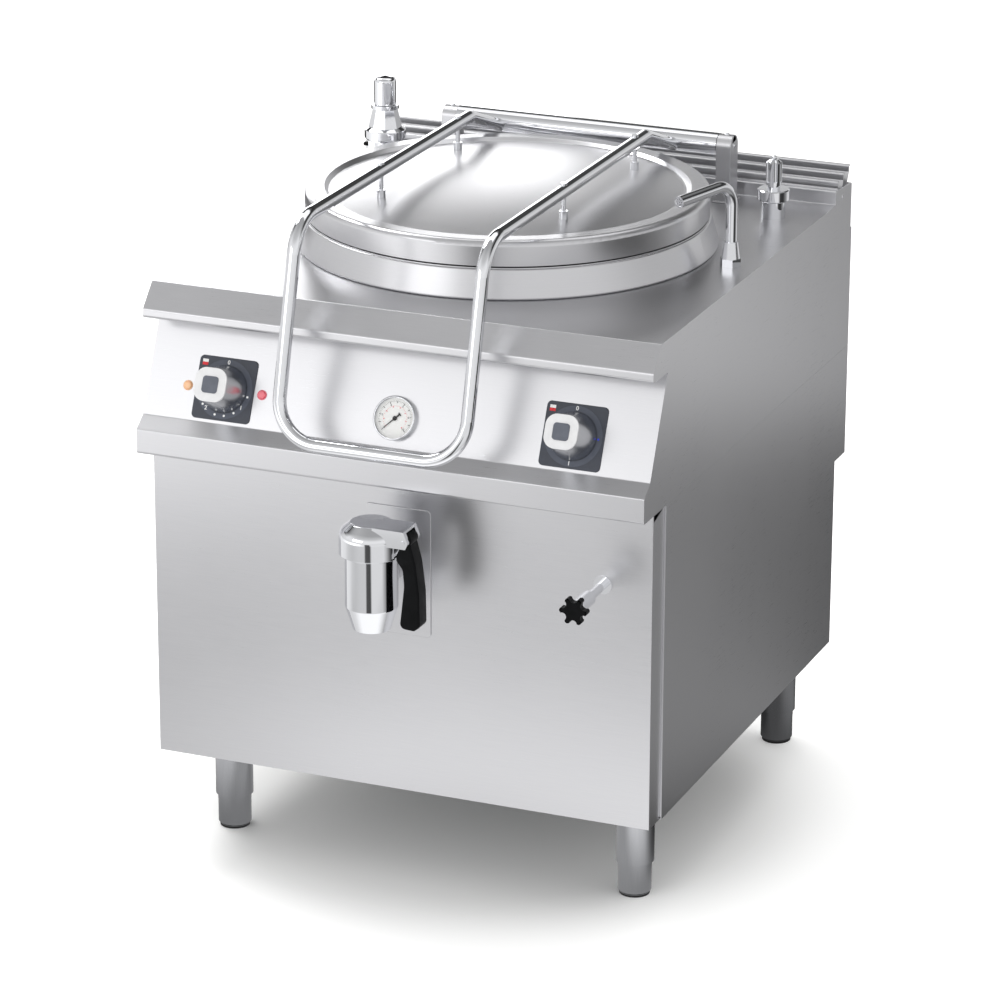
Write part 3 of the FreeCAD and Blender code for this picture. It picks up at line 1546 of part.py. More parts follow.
def leg(x, y):
    sleeve = rod(leg_radius, (x, y, leg_low), (x, y, tray_floor))
    hollow = rod(leg_radius - leg_wall, (x, y, leg_low), (x, y, tray_floor - leg_plate_thick))
    half = leg_plate_side / 2
    plate = block(x - half, x + half, y - half, y + half, tray_floor - leg_plate_thick, tray_floor)
    nut_low = foot_top + rest_gap
    nut = rod(leg_radius - leg_wall, (x, y, nut_low), (x, y, nut_low + leg_nut_thick))
    whole = joined([sleeve.cut(hollow), plate, nut])
    thread = rod(foot_thread_radius + running_gap, (x, y, nut_low), (x, y, nut_low + leg_nut_thick))
    return whole.cut(thread)


def legs():
    return Part.makeCompound([leg(x, y) for x, y in leg_places().values()])


def foot(x, y):
    profile = [(0, 0, 0), (foot_sole_radius, 0, 0), (foot_sole_radius, foot_sole, 0),
               (foot_radius, foot_sole + foot_chamfer, 0), (foot_radius, foot_neck_z, 0),
               (foot_neck_radius, foot_neck_z, 0), (foot_neck_radius, foot_top, 0),
               (foot_thread_radius, foot_top, 0), (foot_thread_radius, foot_thread_top, 0),
               (0, foot_thread_top, 0)]
    return turned(profile, x, y)


# Small screws that stay put

def screws():
    parts = []
    for side in (-1, 1):
        outer = side * half_width
        parts.append(rod(screw_head_radius, (outer, side_screw_y, side_screw_z),
                         (outer + side * side_screw_rise, side_screw_y, side_screw_z)))
        post_face = side * (post_x + post_thick / 2)
        parts.append(rod(screw_head_radius, (post_face, hinge_y, hinge_z),
                         (post_face + side * screw_head_height, hinge_y, hinge_z)))
        top = hinge_z + post_depth / 2
        parts.append(rod(screw_head_radius, (side * post_x, hinge_y, top),
                         (side * post_x, hinge_y, top + screw_head_height)))
    return Part.makeCompound(parts)


def main():
    os.makedirs("parts", exist_ok=True)
    right_panel = side_panel()
    right_cheek = cheek()
    pieces = {
        "floor_tray": floor_tray(),
        "inner_frame": inner_frame(),
        "side_panel_right": right_panel,
        "side_panel_left": mirrored(right_panel),
        "front_panel": front_panel(),
        "rear_panel": rear_panel(),
        "rear_duct": rear_duct(),
        "cheek_right": right_cheek,
        "cheek_left": mirrored(right_cheek),
        "worktop": worktop(),
        "flue_grille": flue_grille(),
        "control_panel": control_panel(),
        "collar": collar(),
        "vessel": vessel(),
        "jacket": jacket(),
        "insulation": insulation(),
        "heating_elements": heating_elements(),
        "pipework": pipework(),
        "water_inlet": water_inlet(),
        "cable_gland": cable_gland(),
        "control_box": control_box(),
        "hinge_posts": hinge_posts(),
        "hinge_bar": hinge_bar(),
        "lid_shell": lid_shell(),
        "lid_liner": lid_liner(),
        "lid_gasket": lid_gasket(),
        "lid_studs": lid_studs(),
        "handle_frame": handle_frame(),
        "tap_base": tap_base(),
        "spout": spout(),
        "vent_base": vent_base(),
        "vent_cap": vent_cap(),
        "safety_base": safety_base(),
        "safety_cap": safety_cap(),
        "safety_lever": safety_lever(),
        "knob_plates": knob_plates(),
        "knob_left_skirt": knob_skirt(-1),
        "knob_left_face": knob_face(-1),
        "knob_right_skirt": knob_skirt(1),
        "knob_right_face": knob_face(1),
        "switch_blocks": switch_blocks(),
        "lamp_orange": lamp(-1),
        "lamp_red": lamp(1),
        "gauge_case": gauge_case(),
        "gauge_glass": gauge_glass(),
        "gauge_needle": gauge_needle(),
        "drain_plate": drain_plate(),
        "drain_body": drain_body(),
        "drain_cap": drain_cap(),
        "drain_piston": drain_piston(),
        "drain_lever": drain_lever(),
        "level_cock": level_cock(),
        "star_knob": star_knob(),
        "legs": legs(),
        "screws": screws(),
    }
    for name, (x, y) in leg_places().items():
        pieces["foot_" + name] = foot(x, y)
    for name, shape in pieces.items():
        shape.translate(Vec(0, -origin_y, 0))
        shape.exportStep("parts/" + name + ".step")
        box = shape.BoundBox
        print(name, shape.isValid(), len(shape.Solids), round(shape.Volume / 1000, 1),
              [round(value, 1) for value in (box.XMin, box.XMax, box.YMin, box.YMax, box.ZMin, box.ZMax)])
    print("origin_y", origin_y)


main()
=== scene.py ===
import bpy
import bmesh
import json
import math
from mathutils import Matrix, Vector


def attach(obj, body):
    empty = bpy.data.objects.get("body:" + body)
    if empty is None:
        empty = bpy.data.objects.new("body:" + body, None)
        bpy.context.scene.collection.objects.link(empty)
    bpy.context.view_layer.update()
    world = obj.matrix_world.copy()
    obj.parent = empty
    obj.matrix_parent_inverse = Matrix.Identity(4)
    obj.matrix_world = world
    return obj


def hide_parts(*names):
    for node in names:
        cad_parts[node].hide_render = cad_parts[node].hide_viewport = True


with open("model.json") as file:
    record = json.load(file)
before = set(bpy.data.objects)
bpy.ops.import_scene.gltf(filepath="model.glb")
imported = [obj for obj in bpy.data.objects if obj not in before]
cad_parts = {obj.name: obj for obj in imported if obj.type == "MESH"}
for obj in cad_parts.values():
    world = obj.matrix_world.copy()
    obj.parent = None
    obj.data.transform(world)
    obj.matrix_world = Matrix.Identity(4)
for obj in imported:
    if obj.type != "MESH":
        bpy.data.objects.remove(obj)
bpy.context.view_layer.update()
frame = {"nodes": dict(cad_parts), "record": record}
nodes = frame["nodes"]
print("frame loaded:", len(nodes), "nodes")

mm = 0.001
bodyOfNode = {name: body for body, names in frame["record"]["behaviour"]["bodies"].items() for name in names}


# ---- colours and shader helpers
def linearColor(hexText):
    channels = [int(hexText[i:i + 2], 16) / 255 for i in (1, 3, 5)]
    return tuple(c / 12.92 if c <= 0.04045 else ((c + 0.055) / 1.055) ** 2.4 for c in channels) + (1.0,)


# grey stops of a colour ramp, as pairs of place and value
def setStops(ramp, stops):
    for element, (position, value) in zip(ramp.elements, (stops[0], stops[-1])):
        element.position, element.color = position, (value, value, value, 1)
    for position, value in stops[1:-1]:
        ramp.elements.new(position).color = (value, value, value, 1)


# settings go to the node itself where it has that name, and otherwise to its socket
def addNode(tree, kind, settings=None, links=None):
    node = tree.nodes.new(kind)
    for name, value in (settings or {}).items():
        if name == "stops":
            setStops(node.color_ramp, value)
        elif isinstance(name, str) and hasattr(node, name):
            setattr(node, name, value)
        else:
            node.inputs[name].default_value = value
    for name, source in (links or {}).items():
        tree.links.new(source, node.inputs[name])
    return node


def newMaterial(name, settings):
    material = bpy.data.materials.new(name)
    material.use_nodes = True
    tree = material.node_tree
    tree.nodes.clear()
    shader = addNode(tree, "ShaderNodeBsdfPrincipled", settings)
    output = addNode(tree, "ShaderNodeOutputMaterial", links={"Surface": shader.outputs[0]})
    output.location = (400, 0)
    return material, tree, shader


# settings for a map range and for a mix of two colours
def span(fromLow, fromHigh, toLow, toHigh, **more):
    return {**more, "From Min": fromLow, "From Max": fromHigh, "To Min": toLow, "To Max": toHigh}


def tint(darkHex, paleHex):
    return {"data_type": "RGBA", 6: linearColor(darkHex), 7: linearColor(paleHex)}


def joinShader(tree, shader, color=None, rough=None, normal=None):
    for name, source in (("Base Color", color), ("Roughness", rough), ("Normal", normal)):
        if source is not None:
            tree.links.new(source, shader.inputs[name])


noiseSpan = (0.3, 0.7)  # most values of a noise texture lie in here
fullSpan = (0.0, 1.0)

# ---- brushed stainless sheet: fine scratches along one axis, or round an upright one, dull its mirror and
# draw lights out across them; real ones are under 0.1 mm wide and are drawn wider here so that they show
brushLook = {"lineWidth": 0.45, "lineLength": 45.0, "cloud": 260.0, "lineShare": 0.55, "cloudShare": 0.45,
             "dark": "#C8C8CB", "pale": "#D3D3D5", "roughLow": 0.27, "roughHigh": 0.35,
             "scratchDepth": 0.006, "scratchStrength": 0.25}


def brushedSteel(name, grain="X", centre=None, **changes):
    look = {**brushLook, **changes}
    material, tree, shader = newMaterial(name, {"Metallic": 1.0, "Anisotropic": 0.0})
    place = addNode(tree, "ShaderNodeTexCoord").outputs["Object"]
    if centre:  # round grain: unroll the angle, the radius and the height
        moved = addNode(tree, "ShaderNodeMapping", {"Location": (-centre[0], -centre[1], 0)},
                        {"Vector": place})
        split = addNode(tree, "ShaderNodeSeparateXYZ", links={0: moved.outputs[0]})
        angle = addNode(tree, "ShaderNodeMath", {"operation": "ARCTAN2"},
                        {0: split.outputs[1], 1: split.outputs[0]})
        flat = addNode(tree, "ShaderNodeCombineXYZ", {"Z": 0.0},
                       {"X": split.outputs[0], "Y": split.outputs[1]})
        radius = addNode(tree, "ShaderNodeVectorMath", {"operation": "LENGTH"}, {0: flat.outputs[0]})
        arc = addNode(tree, "ShaderNodeMath", {"operation": "MULTIPLY", 1: centre[2]}, {0: angle.outputs[0]})
        unrolled = addNode(tree, "ShaderNodeCombineXYZ",
                           links={"X": arc.outputs[0], "Y": radius.outputs["Value"], "Z": split.outputs[2]})
        place = unrolled.outputs[0]
    along, across = 1 / (look["lineLength"] * mm), 1 / (look["lineWidth"] * mm)
    scale = {"X": (along, across, across), "Y": (across, along, across), "Z": (across, across, along)}[grain]
    stretched = addNode(tree, "ShaderNodeMapping", {"Scale": scale}, {"Vector": place})
    lines = addNode(tree, "ShaderNodeTexNoise", {"Scale": 1.0, "Detail": 5.0, "Roughness": 0.65},
                    {"Vector": stretched.outputs[0]})
    clouds = addNode(tree, "ShaderNodeTexNoise", {"Scale": 1 / (look["cloud"] * mm), "Detail": 3.0},
                     {"Vector": place})
    lineShade = addNode(tree, "ShaderNodeMapRange", span(*noiseSpan, 0.0, look["lineShare"]),
                        {"Value": lines.outputs[0]})
    both = addNode(tree, "ShaderNodeMath", {"operation": "MULTIPLY_ADD", 1: look["cloudShare"]},
                   {0: clouds.outputs[0], 2: lineShade.outputs[0]})
    color = addNode(tree, "ShaderNodeMix", tint(look["dark"], look["pale"]), {0: both.outputs[0]})
    rough = addNode(tree, "ShaderNodeMapRange", span(0.2, 0.8, look["roughLow"], look["roughHigh"]),
                    {"Value": both.outputs[0]})
    bump = addNode(tree, "ShaderNodeBump",
                   {"Strength": look["scratchStrength"], "Distance": look["scratchDepth"] * mm},
                   {"Height": lines.outputs[0]})
    joinShader(tree, shader, color.outputs[2], rough.outputs[0], bump.outputs[0])
    return material


# ---- plated or polished metal: mirror bright, with faint wiping marks and a slight ripple from polishing
polishLook = {"ripple": 9.0, "rippleDepth": 0.02, "rippleStrength": 0.08}


def plated(name, hexText="#E4E5E8", roughLow=0.035, roughHigh=0.075, smear=35.0):
    look = polishLook
    material, tree, shader = newMaterial(name, {"Metallic": 1.0, "Base Color": linearColor(hexText)})
    place = addNode(tree, "ShaderNodeTexCoord").outputs["Object"]
    marks = addNode(tree, "ShaderNodeTexNoise", {"Scale": 1 / (smear * mm), "Detail": 6.0, "Distortion": 0.6},
                    {"Vector": place})
    rough = addNode(tree, "ShaderNodeMapRange", span(*noiseSpan, roughLow, roughHigh),
                    {"Value": marks.outputs[0]})
    ripple = addNode(tree, "ShaderNodeTexNoise", {"Scale": 1 / (look["ripple"] * mm), "Detail": 2.0},
                     {"Vector": place})
    bump = addNode(tree, "ShaderNodeBump",
                   {"Strength": look["rippleStrength"], "Distance": look["rippleDepth"] * mm},
                   {"Height": ripple.outputs[0]})
    joinShader(tree, shader, None, rough.outputs[0], bump.outputs[0])
    return material


# ---- moulded plastic, rubber and felted wool: a fine grain, and soft clouds where the shine differs a little
mouldLook = {"cloud": 12.0, "grainStrength": 0.3}


def moulded(name, darkHex, paleHex, roughLow, roughHigh, grainSize=0.35, depth=0.02, **settings):
    look = mouldLook
    material, tree, shader = newMaterial(name, settings)
    place = addNode(tree, "ShaderNodeTexCoord").outputs["Object"]
    grain = addNode(tree, "ShaderNodeTexVoronoi", {"Scale": 1 / (grainSize * mm)}, {"Vector": place})
    clouds = addNode(tree, "ShaderNodeTexNoise", {"Scale": 1 / (look["cloud"] * mm), "Detail": 4.0},
                     {"Vector": place})
    shade = addNode(tree, "ShaderNodeMapRange", span(*noiseSpan, *fullSpan), {"Value": clouds.outputs[0]})
    color = addNode(tree, "ShaderNodeMix", tint(darkHex, paleHex), {0: shade.outputs[0]})
    rough = addNode(tree, "ShaderNodeMapRange", span(*noiseSpan, roughLow, roughHigh),
                    {"Value": clouds.outputs[0]})
    bump = addNode(tree, "ShaderNodeBump", {"Strength": look["grainStrength"], "Distance": depth * mm},
                   {"Height": grain.outputs[0]})
    joinShader(tree, shader, color.outputs[2], rough.outputs[0], bump.outputs[0])
    return material


# ---- zinc coated sheet: flat grey flakes, each with its own shade and shine
zincLook = {"flake": 9.0, "wobble": 15.0, "wobbleShare": 0.006, "dark": "#9EA1A3", "pale": "#C2C4C5",
            "roughLow": 0.32, "roughHigh": 0.5}


def galvanised(name):
    look = zincLook
    material, tree, shader = newMaterial(name, {"Metallic": 1.0})
    place = addNode(tree, "ShaderNodeTexCoord").outputs["Object"]
    wobble = addNode(tree, "ShaderNodeTexNoise", {"Scale": 1 / (look["wobble"] * mm), "Detail": 2.0},
                     {"Vector": place})
    pushed = addNode(tree, "ShaderNodeMix", {"data_type": "VECTOR", 0: look["wobbleShare"]},
                     {4: place, 5: wobble.outputs["Color"]})
    flakes = addNode(tree, "ShaderNodeTexVoronoi", {"Scale": 1 / (look["flake"] * mm)},
                     {"Vector": pushed.outputs[1]})
    shade = addNode(tree, "ShaderNodeSeparateColor", links={0: flakes.outputs["Color"]})
    color = addNode(tree, "ShaderNodeMix", tint(look["dark"], look["pale"]), {0: shade.outputs[0]})
    rough = addNode(tree, "ShaderNodeMapRange", span(*fullSpan, look["roughLow"], look["roughHigh"]),
                    {"Value": shade.outputs[1]})
    joinShader(tree, shader, color.outputs[2], rough.outputs[0])
    return material


# ---- coloured polycarbonate lens: soft inside light, from subsurface scattering and from a painted glow that is paler in the middle and darker towards the rim; glossy skin, rings pressed into its inside
lensLook = {"radius": 6.2, "ring": 0.6, "ringDepth": 0.1, "ringStrength": 0.2}
lensShader = {"Roughness": 0.28, "Coat Weight": 0.5, "Coat Roughness": 0.1, "Subsurface Weight": 0.35,
              "Subsurface Scale": 0.003, "Subsurface Radius": (1.0, 0.4, 0.25)}


def ringedLens(name, darkHex, paleHex, centre):
    look = lensLook
    material, tree, shader = newMaterial(name, lensShader)
    place = addNode(tree, "ShaderNodeTexCoord").outputs["Object"]
    moved = addNode(tree, "ShaderNodeMapping", {"Location": tuple(-c for c in centre)}, {"Vector": place})
    far = addNode(tree, "ShaderNodeVectorMath", {"operation": "LENGTH"}, {0: moved.outputs[0]})
    rings = addNode(tree, "ShaderNodeMath", {"operation": "PINGPONG", 1: look["ring"] * mm},
                    {0: far.outputs["Value"]})
    # painted glow: the colour is palest at the lens's middle and fades to the darker tint at its rim
    shade = addNode(tree, "ShaderNodeMapRange", span(0.0, look["radius"] * mm, 1.0, 0.0),
                    {"Value": far.outputs["Value"]})
    color = addNode(tree, "ShaderNodeMix", tint(darkHex, paleHex), {0: shade.outputs[0]})
    bump = addNode(tree, "ShaderNodeBump",
                   {"Strength": look["ringStrength"], "Distance": look["ringDepth"] * mm},
                   {"Height": rings.outputs[0]})
    joinShader(tree, shader, color.outputs[2], None, bump.outputs[0])
    return material


# ---- screen printed ink: flat, and a little thin in places
inkLook = {"patch": 1.5, "thinFrom": 0.35, "thinTo": 0.6, "rough": 0.45}


def printed(name, hexText, wornHex):
    look = inkLook
    material, tree, shader = newMaterial(name, {"Roughness": look["rough"]})
    place = addNode(tree, "ShaderNodeTexCoord").outputs["Object"]
    worn = addNode(tree, "ShaderNodeTexNoise", {"Scale": 1 / (look["patch"] * mm), "Detail": 3.0},
                   {"Vector": place})
    shade = addNode(tree, "ShaderNodeMapRange", span(look["thinFrom"], look["thinTo"], *fullSpan),
                    {"Value": worn.outputs[0]})
    color = addNode(tree, "ShaderNodeMix", tint(wornHex, hexText), {0: shade.outputs[0]})
    joinShader(tree, shader, color.outputs[2])
    return material


kettleRound = (0.0, 0.05425, 0.3)  # its centre, and the radius its grain is unrolled at
slopeLamps = {"orange": (-0.335, -0.368, 0.7515), "red": (-0.215, -0.368, 0.7515)}
finishes = {
    "sheetX": brushedSteel("brushed stainless, grain across", "X"),
    "sheetY": brushedSteel("brushed stainless, grain front to back", "Y"),
    "sheetZ": brushedSteel("brushed stainless, upright grain", "Z"),
    "legTube": brushedSteel("drawn stainless tube", "Z", roughLow=0.1, roughHigh=0.17, dark="#B4B5B9",
                            pale="#C4C5C8"),
    "lidTop": brushedSteel("brushed stainless, lid", "X", lineLength=70.0),
    "roundKettle": brushedSteel("brushed stainless, turned", "X", centre=kettleRound, lineLength=80.0),
    "satinKnob": brushedSteel("satin knob metal", "Z", lineWidth=0.2, lineLength=8.0, dark="#C8C9CC",
                              pale="#DADBDD", roughLow=0.2, roughHigh=0.3),
    "fitting": plated("plated fitting"),
    "tube": plated("plated tube", smear=60.0),
    "zinc": galvanised("zinc coated sheet"),
    # an IOR under plastic's 1.46, because these parts hardly shine in the photograph
    "blackLever": moulded("black moulded plastic", "#040506", "#0A0B0D", 0.34, 0.46, IOR=1.2),
    "blackRubber": moulded("black silicone rubber", "#0B0B0C", "#141415", 0.5, 0.65, 0.6, 0.03),
    "slate": moulded("dark slate plastic", "#343842", "#3E424D", 0.38, 0.48, 0.3, 0.012),
    "slateRing": moulded("slate ring print", "#474C58", "#505562", 0.42, 0.5, 0.3, 0.012),
    "paleCap": moulded("pale knob ring", "#DCDCDD", "#E4E4E5", 0.32, 0.4, 0.25, 0.008),
    "slateCap": moulded("slate knob centre", "#525762", "#5C616C", 0.3, 0.38, 0.3, 0.01),
    "wool": moulded("mineral wool", "#8A7A50", "#B09B6A", 0.9, 1.0, 2.5, 1.2),
    "copper": plated("copper pipe", "#D98E6C", 0.14, 0.3, 20.0),
    "brass": plated("turned brass", "#D9B86C", 0.12, 0.26, 15.0),
    # each lens's paler tint is its painted glow, set at the lens's middle
    "orangeLens": ringedLens("orange lens", "#F2B98A", "#FACFA6", slopeLamps["orange"]),
    "redLens": ringedLens("red lens", "#EE6878", "#F58993", slopeLamps["red"]),
    "whitePrint": printed("white print", "#FBFBFA", "#EFEFED"),
    "redPrint": printed("red print", "#E8202C", "#C91A26"),
    "bluePrint": printed("blue print", "#2B3FE0", "#2434BC"),
    "blackPrint": printed("black print", "#121212", "#1E1E1E"),
    "dialWhite": printed("dial white", "#F8F8F6", "#F2F2F0"),
}
glassLook = {"Base Color": linearColor("#FFFFFF"), "Roughness": 0.02, "Alpha": 0.05,
             "Transmission Weight": 1.0}
finishes["glass"] = newMaterial("flat clear glass", glassLook)[0]

nodeFinish = {
    "sheetX": ["front_panel", "control_panel", "worktop", "flue_grille", "rear_duct", "drain_plate"],
    "sheetY": ["side_panel_left", "side_panel_right", "cheek_left", "cheek_right"],
    "sheetZ": ["hinge_posts"],
    "legTube": ["legs", "foot_front_left", "foot_front_right", "foot_rear_left", "foot_rear_right"],
    "lidTop": ["lid_shell", "lid_liner"],
    "roundKettle": ["collar", "vessel"],
    "satinKnob": ["knob_left_skirt", "knob_right_skirt"],
    "fitting": ["lid_studs", "tap_base", "vent_base", "vent_cap", "safety_base", "safety_cap", "drain_body",
                "drain_cap", "level_cock", "gauge_case", "screws", "drain_piston", "heating_elements"],
    "tube": ["handle_frame", "hinge_bar", "spout"],
    "zinc": ["floor_tray", "inner_frame", "rear_panel", "jacket", "control_box"],
    "blackLever": ["drain_lever", "star_knob", "cable_gland", "safety_lever", "gauge_needle"],
    "blackRubber": ["lid_gasket"],
    "slate": ["knob_plates", "switch_blocks"],
    "paleCap": ["knob_left_face", "knob_right_face"],
    "wool": ["insulation"],
    "copper": ["pipework"],
    "brass": ["water_inlet"],
    "orangeLens": ["lamp_orange"],
    "redLens": ["lamp_red"],
    "glass": ["gauge_glass"],
}
for finish, names in nodeFinish.items():
    for name in names:
        slots = nodes[name].data.materials
        slots.clear()
        slots.append(finishes[finish])
print("finishes set")


# ---- mesh helpers: every piece is finished at the origin and rides on its body
def linkedPiece(name, mesh, body, finish=None, replaced=()):
    piece = bpy.data.objects.new(name, mesh)
    bpy.context.scene.collection.objects.link(piece)
    if finish:
        mesh.materials.clear()
        mesh.materials.append(finishes[finish])
    if replaced:
        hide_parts(*replaced)
    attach(piece, body)
    return piece


def meshFrom(work, name, smoothAngle=32):
    bmesh.ops.recalc_face_normals(work, faces=work.faces)
    for face in work.faces:
        face.smooth = True
    for edge in work.edges:
        edge.smooth = len(edge.link_faces) == 2 and edge.calc_face_angle(0) < math.radians(smoothAngle)
    mesh = bpy.data.meshes.new(name)
    work.to_mesh(mesh)
    work.free()
    return mesh


def withModifiers(mesh, name, build):
    holder = bpy.data.objects.new(name + "_work", mesh)
    bpy.context.scene.collection.objects.link(holder)
    build(holder)
    graph = bpy.context.evaluated_depsgraph_get()
    result = bpy.data.meshes.new_from_object(holder.evaluated_get(graph), depsgraph=graph)
    result.name = name
    bpy.data.objects.remove(holder)
    return result


def weldedCopy(nodeName):
    work = bmesh.new()
    work.from_mesh(nodes[nodeName].data)
    bmesh.ops.remove_doubles(work, verts=work.verts, dist=0.01 * mm)
    return work


# the sloping panel: its tilt in degrees, and its lower fold in mm
slopeLook = {"tilt": 65.62, "lowY": -388.75, "lowZ": 705.0}


# a place on the sloping panel: across, up from its lower fold and out from its face, in mm
def onSlope(x, up, out):
    look = slopeLook
    tilt = math.radians(look["tilt"])
    y = look["lowY"] + up * math.cos(tilt) - out * math.sin(tilt)
    z = look["lowZ"] + up * math.sin(tilt) + out * math.cos(tilt)
    return Vector((x, y, z)) * mm


# moves a flat mesh, drawn in metres on XY and facing +Z, to its place on the sloping panel
def toSlope(mesh, x, up, out):
    turn = Matrix.Rotation(math.radians(slopeLook["tilt"]), 4, "X")
    mesh.transform(Matrix.Translation(onSlope(x, up, out)) @ turn)


# lathe: the profile is radius and height in mm, and ends on the axis close the form
def turnedMesh(name, profile, steps=64, smoothAngle=32):
    work = bmesh.new()
    rings = []
    for radius, height in profile:
        if radius == 0:
            rings.append([work.verts.new((0, 0, height * mm))])
        else:
            rings.append([work.verts.new((radius * mm * math.cos(2 * math.pi * k / steps),
                                          radius * mm * math.sin(2 * math.pi * k / steps), height * mm))
                          for k in range(steps)])
    for low, high in zip(rings, rings[1:]):
        for k in range(steps):
            corners = [low[k % len(low)], low[(k + 1) % len(low)],
                       high[(k + 1) % len(high)], high[k % len(high)]]
            work.faces.new(list(dict.fromkeys(corners)))
    return meshFrom(work, name, smoothAngle)


# a flat disc of that radius, with its thickness to both sides of the plane
def discMesh(name, radius, half, steps):
    return turnedMesh(name, [(0, half), (radius, half), (radius, -half), (0, -half)], steps)


# the letters are a little bolder than the plain font
wordLook = {"thick": 0.06, "bolder": 0.018}


def wordMesh(name, text, size):
    curve = bpy.data.curves.new(name, "FONT")
    curve.body, curve.size, curve.extrude = text, size * mm, wordLook["thick"] * mm / 2
    curve.offset = size * mm * wordLook["bolder"]
    curve.align_x, curve.align_y = "CENTER", "CENTER"
    holder = bpy.data.objects.new(name, curve)
    bpy.context.scene.collection.objects.link(holder)
    graph = bpy.context.evaluated_depsgraph_get()
    mesh = bpy.data.meshes.new_from_object(holder.evaluated_get(graph), depsgraph=graph)
    bpy.data.objects.remove(holder)
    return mesh


def joinedMesh(name, meshes):
    work = bmesh.new()
    for mesh in meshes:
        work.from_mesh(mesh)
    return meshFrom(work, name)


# ---- node tree that sets one mark many times round an arc
def arcOfMarksTree():
    tree = bpy.data.node_groups.new("marksOnArc", "GeometryNodeTree")
    face = tree.interface
    sockets = {}
    for label, kind in (("Mark", "NodeSocketObject"), ("Count", "NodeSocketInt"),
                        ("Radius", "NodeSocketFloat"), ("First Angle", "NodeSocketFloat"),
                        ("Sweep", "NodeSocketFloat"), ("Material", "NodeSocketMaterial")):
        sockets[label] = face.new_socket(name=label, in_out="INPUT", socket_type=kind).identifier
    face.new_socket(name="Marks", in_out="OUTPUT", socket_type="NodeSocketGeometry")
    given = addNode(tree, "NodeGroupInput").outputs
    line = addNode(tree, "GeometryNodeMeshLine", {"mode": "OFFSET"}, {"Count": given["Count"]})
    number = addNode(tree, "GeometryNodeInputIndex")
    last = addNode(tree, "ShaderNodeMath", {"operation": "SUBTRACT", 1: 1.0}, {0: given["Count"]})
    share = addNode(tree, "ShaderNodeMath", {"operation": "DIVIDE"},
                    {0: number.outputs[0], 1: last.outputs[0]})
    angle = addNode(tree, "ShaderNodeMath", {"operation": "MULTIPLY_ADD"},
                    {0: share.outputs[0], 1: given["Sweep"], 2: given["First Angle"]})
    turn = addNode(tree, "ShaderNodeCombineXYZ", links={"Z": angle.outputs[0]})
    out = addNode(tree, "ShaderNodeCombineXYZ", links={"X": given["Radius"]})
    place = addNode(tree, "ShaderNodeVectorRotate", {"rotation_type": "EULER_XYZ"},
                    {"Vector": out.outputs[0], "Rotation": turn.outputs[0]})
    spots = addNode(tree, "GeometryNodeSetPosition",
                    links={"Geometry": line.outputs[0], "Position": place.outputs[0]})
    mark = addNode(tree, "GeometryNodeObjectInfo", links={"Object": given["Mark"]})
    copies = addNode(tree, "GeometryNodeInstanceOnPoints",
                     links={"Points": spots.outputs[0], "Instance": mark.outputs["Geometry"],
                            "Rotation": turn.outputs[0]})
    real = addNode(tree, "GeometryNodeRealizeInstances", links={0: copies.outputs[0]})
    painted = addNode(tree, "GeometryNodeSetMaterial", links={"Geometry": real.outputs[0],
                                                              "Material": given["Material"]})
    addNode(tree, "NodeGroupOutput", links={0: painted.outputs[0]})
    return tree, sockets


fullTurn = 6.283  # radians


# ---- node tree that sets a screw on each point, turned to the point's own direction
def screwsOnPointsTree():
    tree = bpy.data.node_groups.new("screwsOnPoints", "GeometryNodeTree")
    face = tree.interface
    sockets = {}
    for label, kind in (("Points", "NodeSocketGeometry"), ("Screw", "NodeSocketObject"),
                        ("Seed", "NodeSocketInt"), ("Material", "NodeSocketMaterial")):
        sockets[label] = face.new_socket(name=label, in_out="INPUT", socket_type=kind).identifier
    face.new_socket(name="Screws", in_out="OUTPUT", socket_type="NodeSocketGeometry")
    given = addNode(tree, "NodeGroupInput").outputs
    facing = addNode(tree, "GeometryNodeInputNamedAttribute", {"data_type": "FLOAT_VECTOR", "Name": "facing"})
    spin = addNode(tree, "FunctionNodeRandomValue", {"data_type": "FLOAT", 2: 0.0, 3: fullTurn},
                   {"Seed": given["Seed"]})
    around = addNode(tree, "ShaderNodeCombineXYZ", links={"Z": spin.outputs[1]})
    upright = addNode(tree, "FunctionNodeAlignRotationToVector", {"axis": "Z"}, {"Vector": facing.outputs[0]})
    turned = addNode(tree, "FunctionNodeRotateRotation", {"rotation_space": "LOCAL"},
                     {0: upright.outputs[0], 1: around.outputs[0]})
    screw = addNode(tree, "GeometryNodeObjectInfo", links={"Object": given["Screw"]})
    copies = addNode(tree, "GeometryNodeInstanceOnPoints",
                     links={"Points": given["Points"], "Instance": screw.outputs["Geometry"],
                            "Rotation": turned.outputs[0]})
    real = addNode(tree, "GeometryNodeRealizeInstances", links={0: copies.outputs[0]})
    painted = addNode(tree, "GeometryNodeSetMaterial", links={"Geometry": real.outputs[0],
                                                              "Material": given["Material"]})
    addNode(tree, "NodeGroupOutput", links={0: painted.outputs[0]})
    return tree, sockets


arcTree, arcSockets = arcOfMarksTree()
screwTree, screwSockets = screwsOnPointsTree()


def runTree(name, tree, sockets, values, base=None):
    def build(holder):
        modifier = holder.modifiers.new(name, "NODES")
        modifier.node_group = tree
        for label, value in values.items():
            modifier[sockets[label]] = value
    return withModifiers(base or bpy.data.meshes.new(name), name, build)


# something for a node tree to copy; the caller removes it once the tree has run
def hiddenObject(name, mesh):
    thing = bpy.data.objects.new(name, mesh)
    bpy.context.scene.collection.objects.link(thing)
    return thing


def marksOnArc(name, mark, finish, count, radius, first, sweep):
    return runTree(name, arcTree, arcSockets,
                   {"Mark": mark, "Count": count, "Radius": radius * mm, "First Angle": math.radians(first),
                    "Sweep": math.radians(sweep), "Material": finishes[finish]})


def barMesh(name, length, width, thick=0.06):
    work = bmesh.new()
    bmesh.ops.create_cube(work, size=1.0, matrix=Matrix.Diagonal((length * mm, width * mm, thick * mm, 1.0)))
    return meshFrom(work, name)


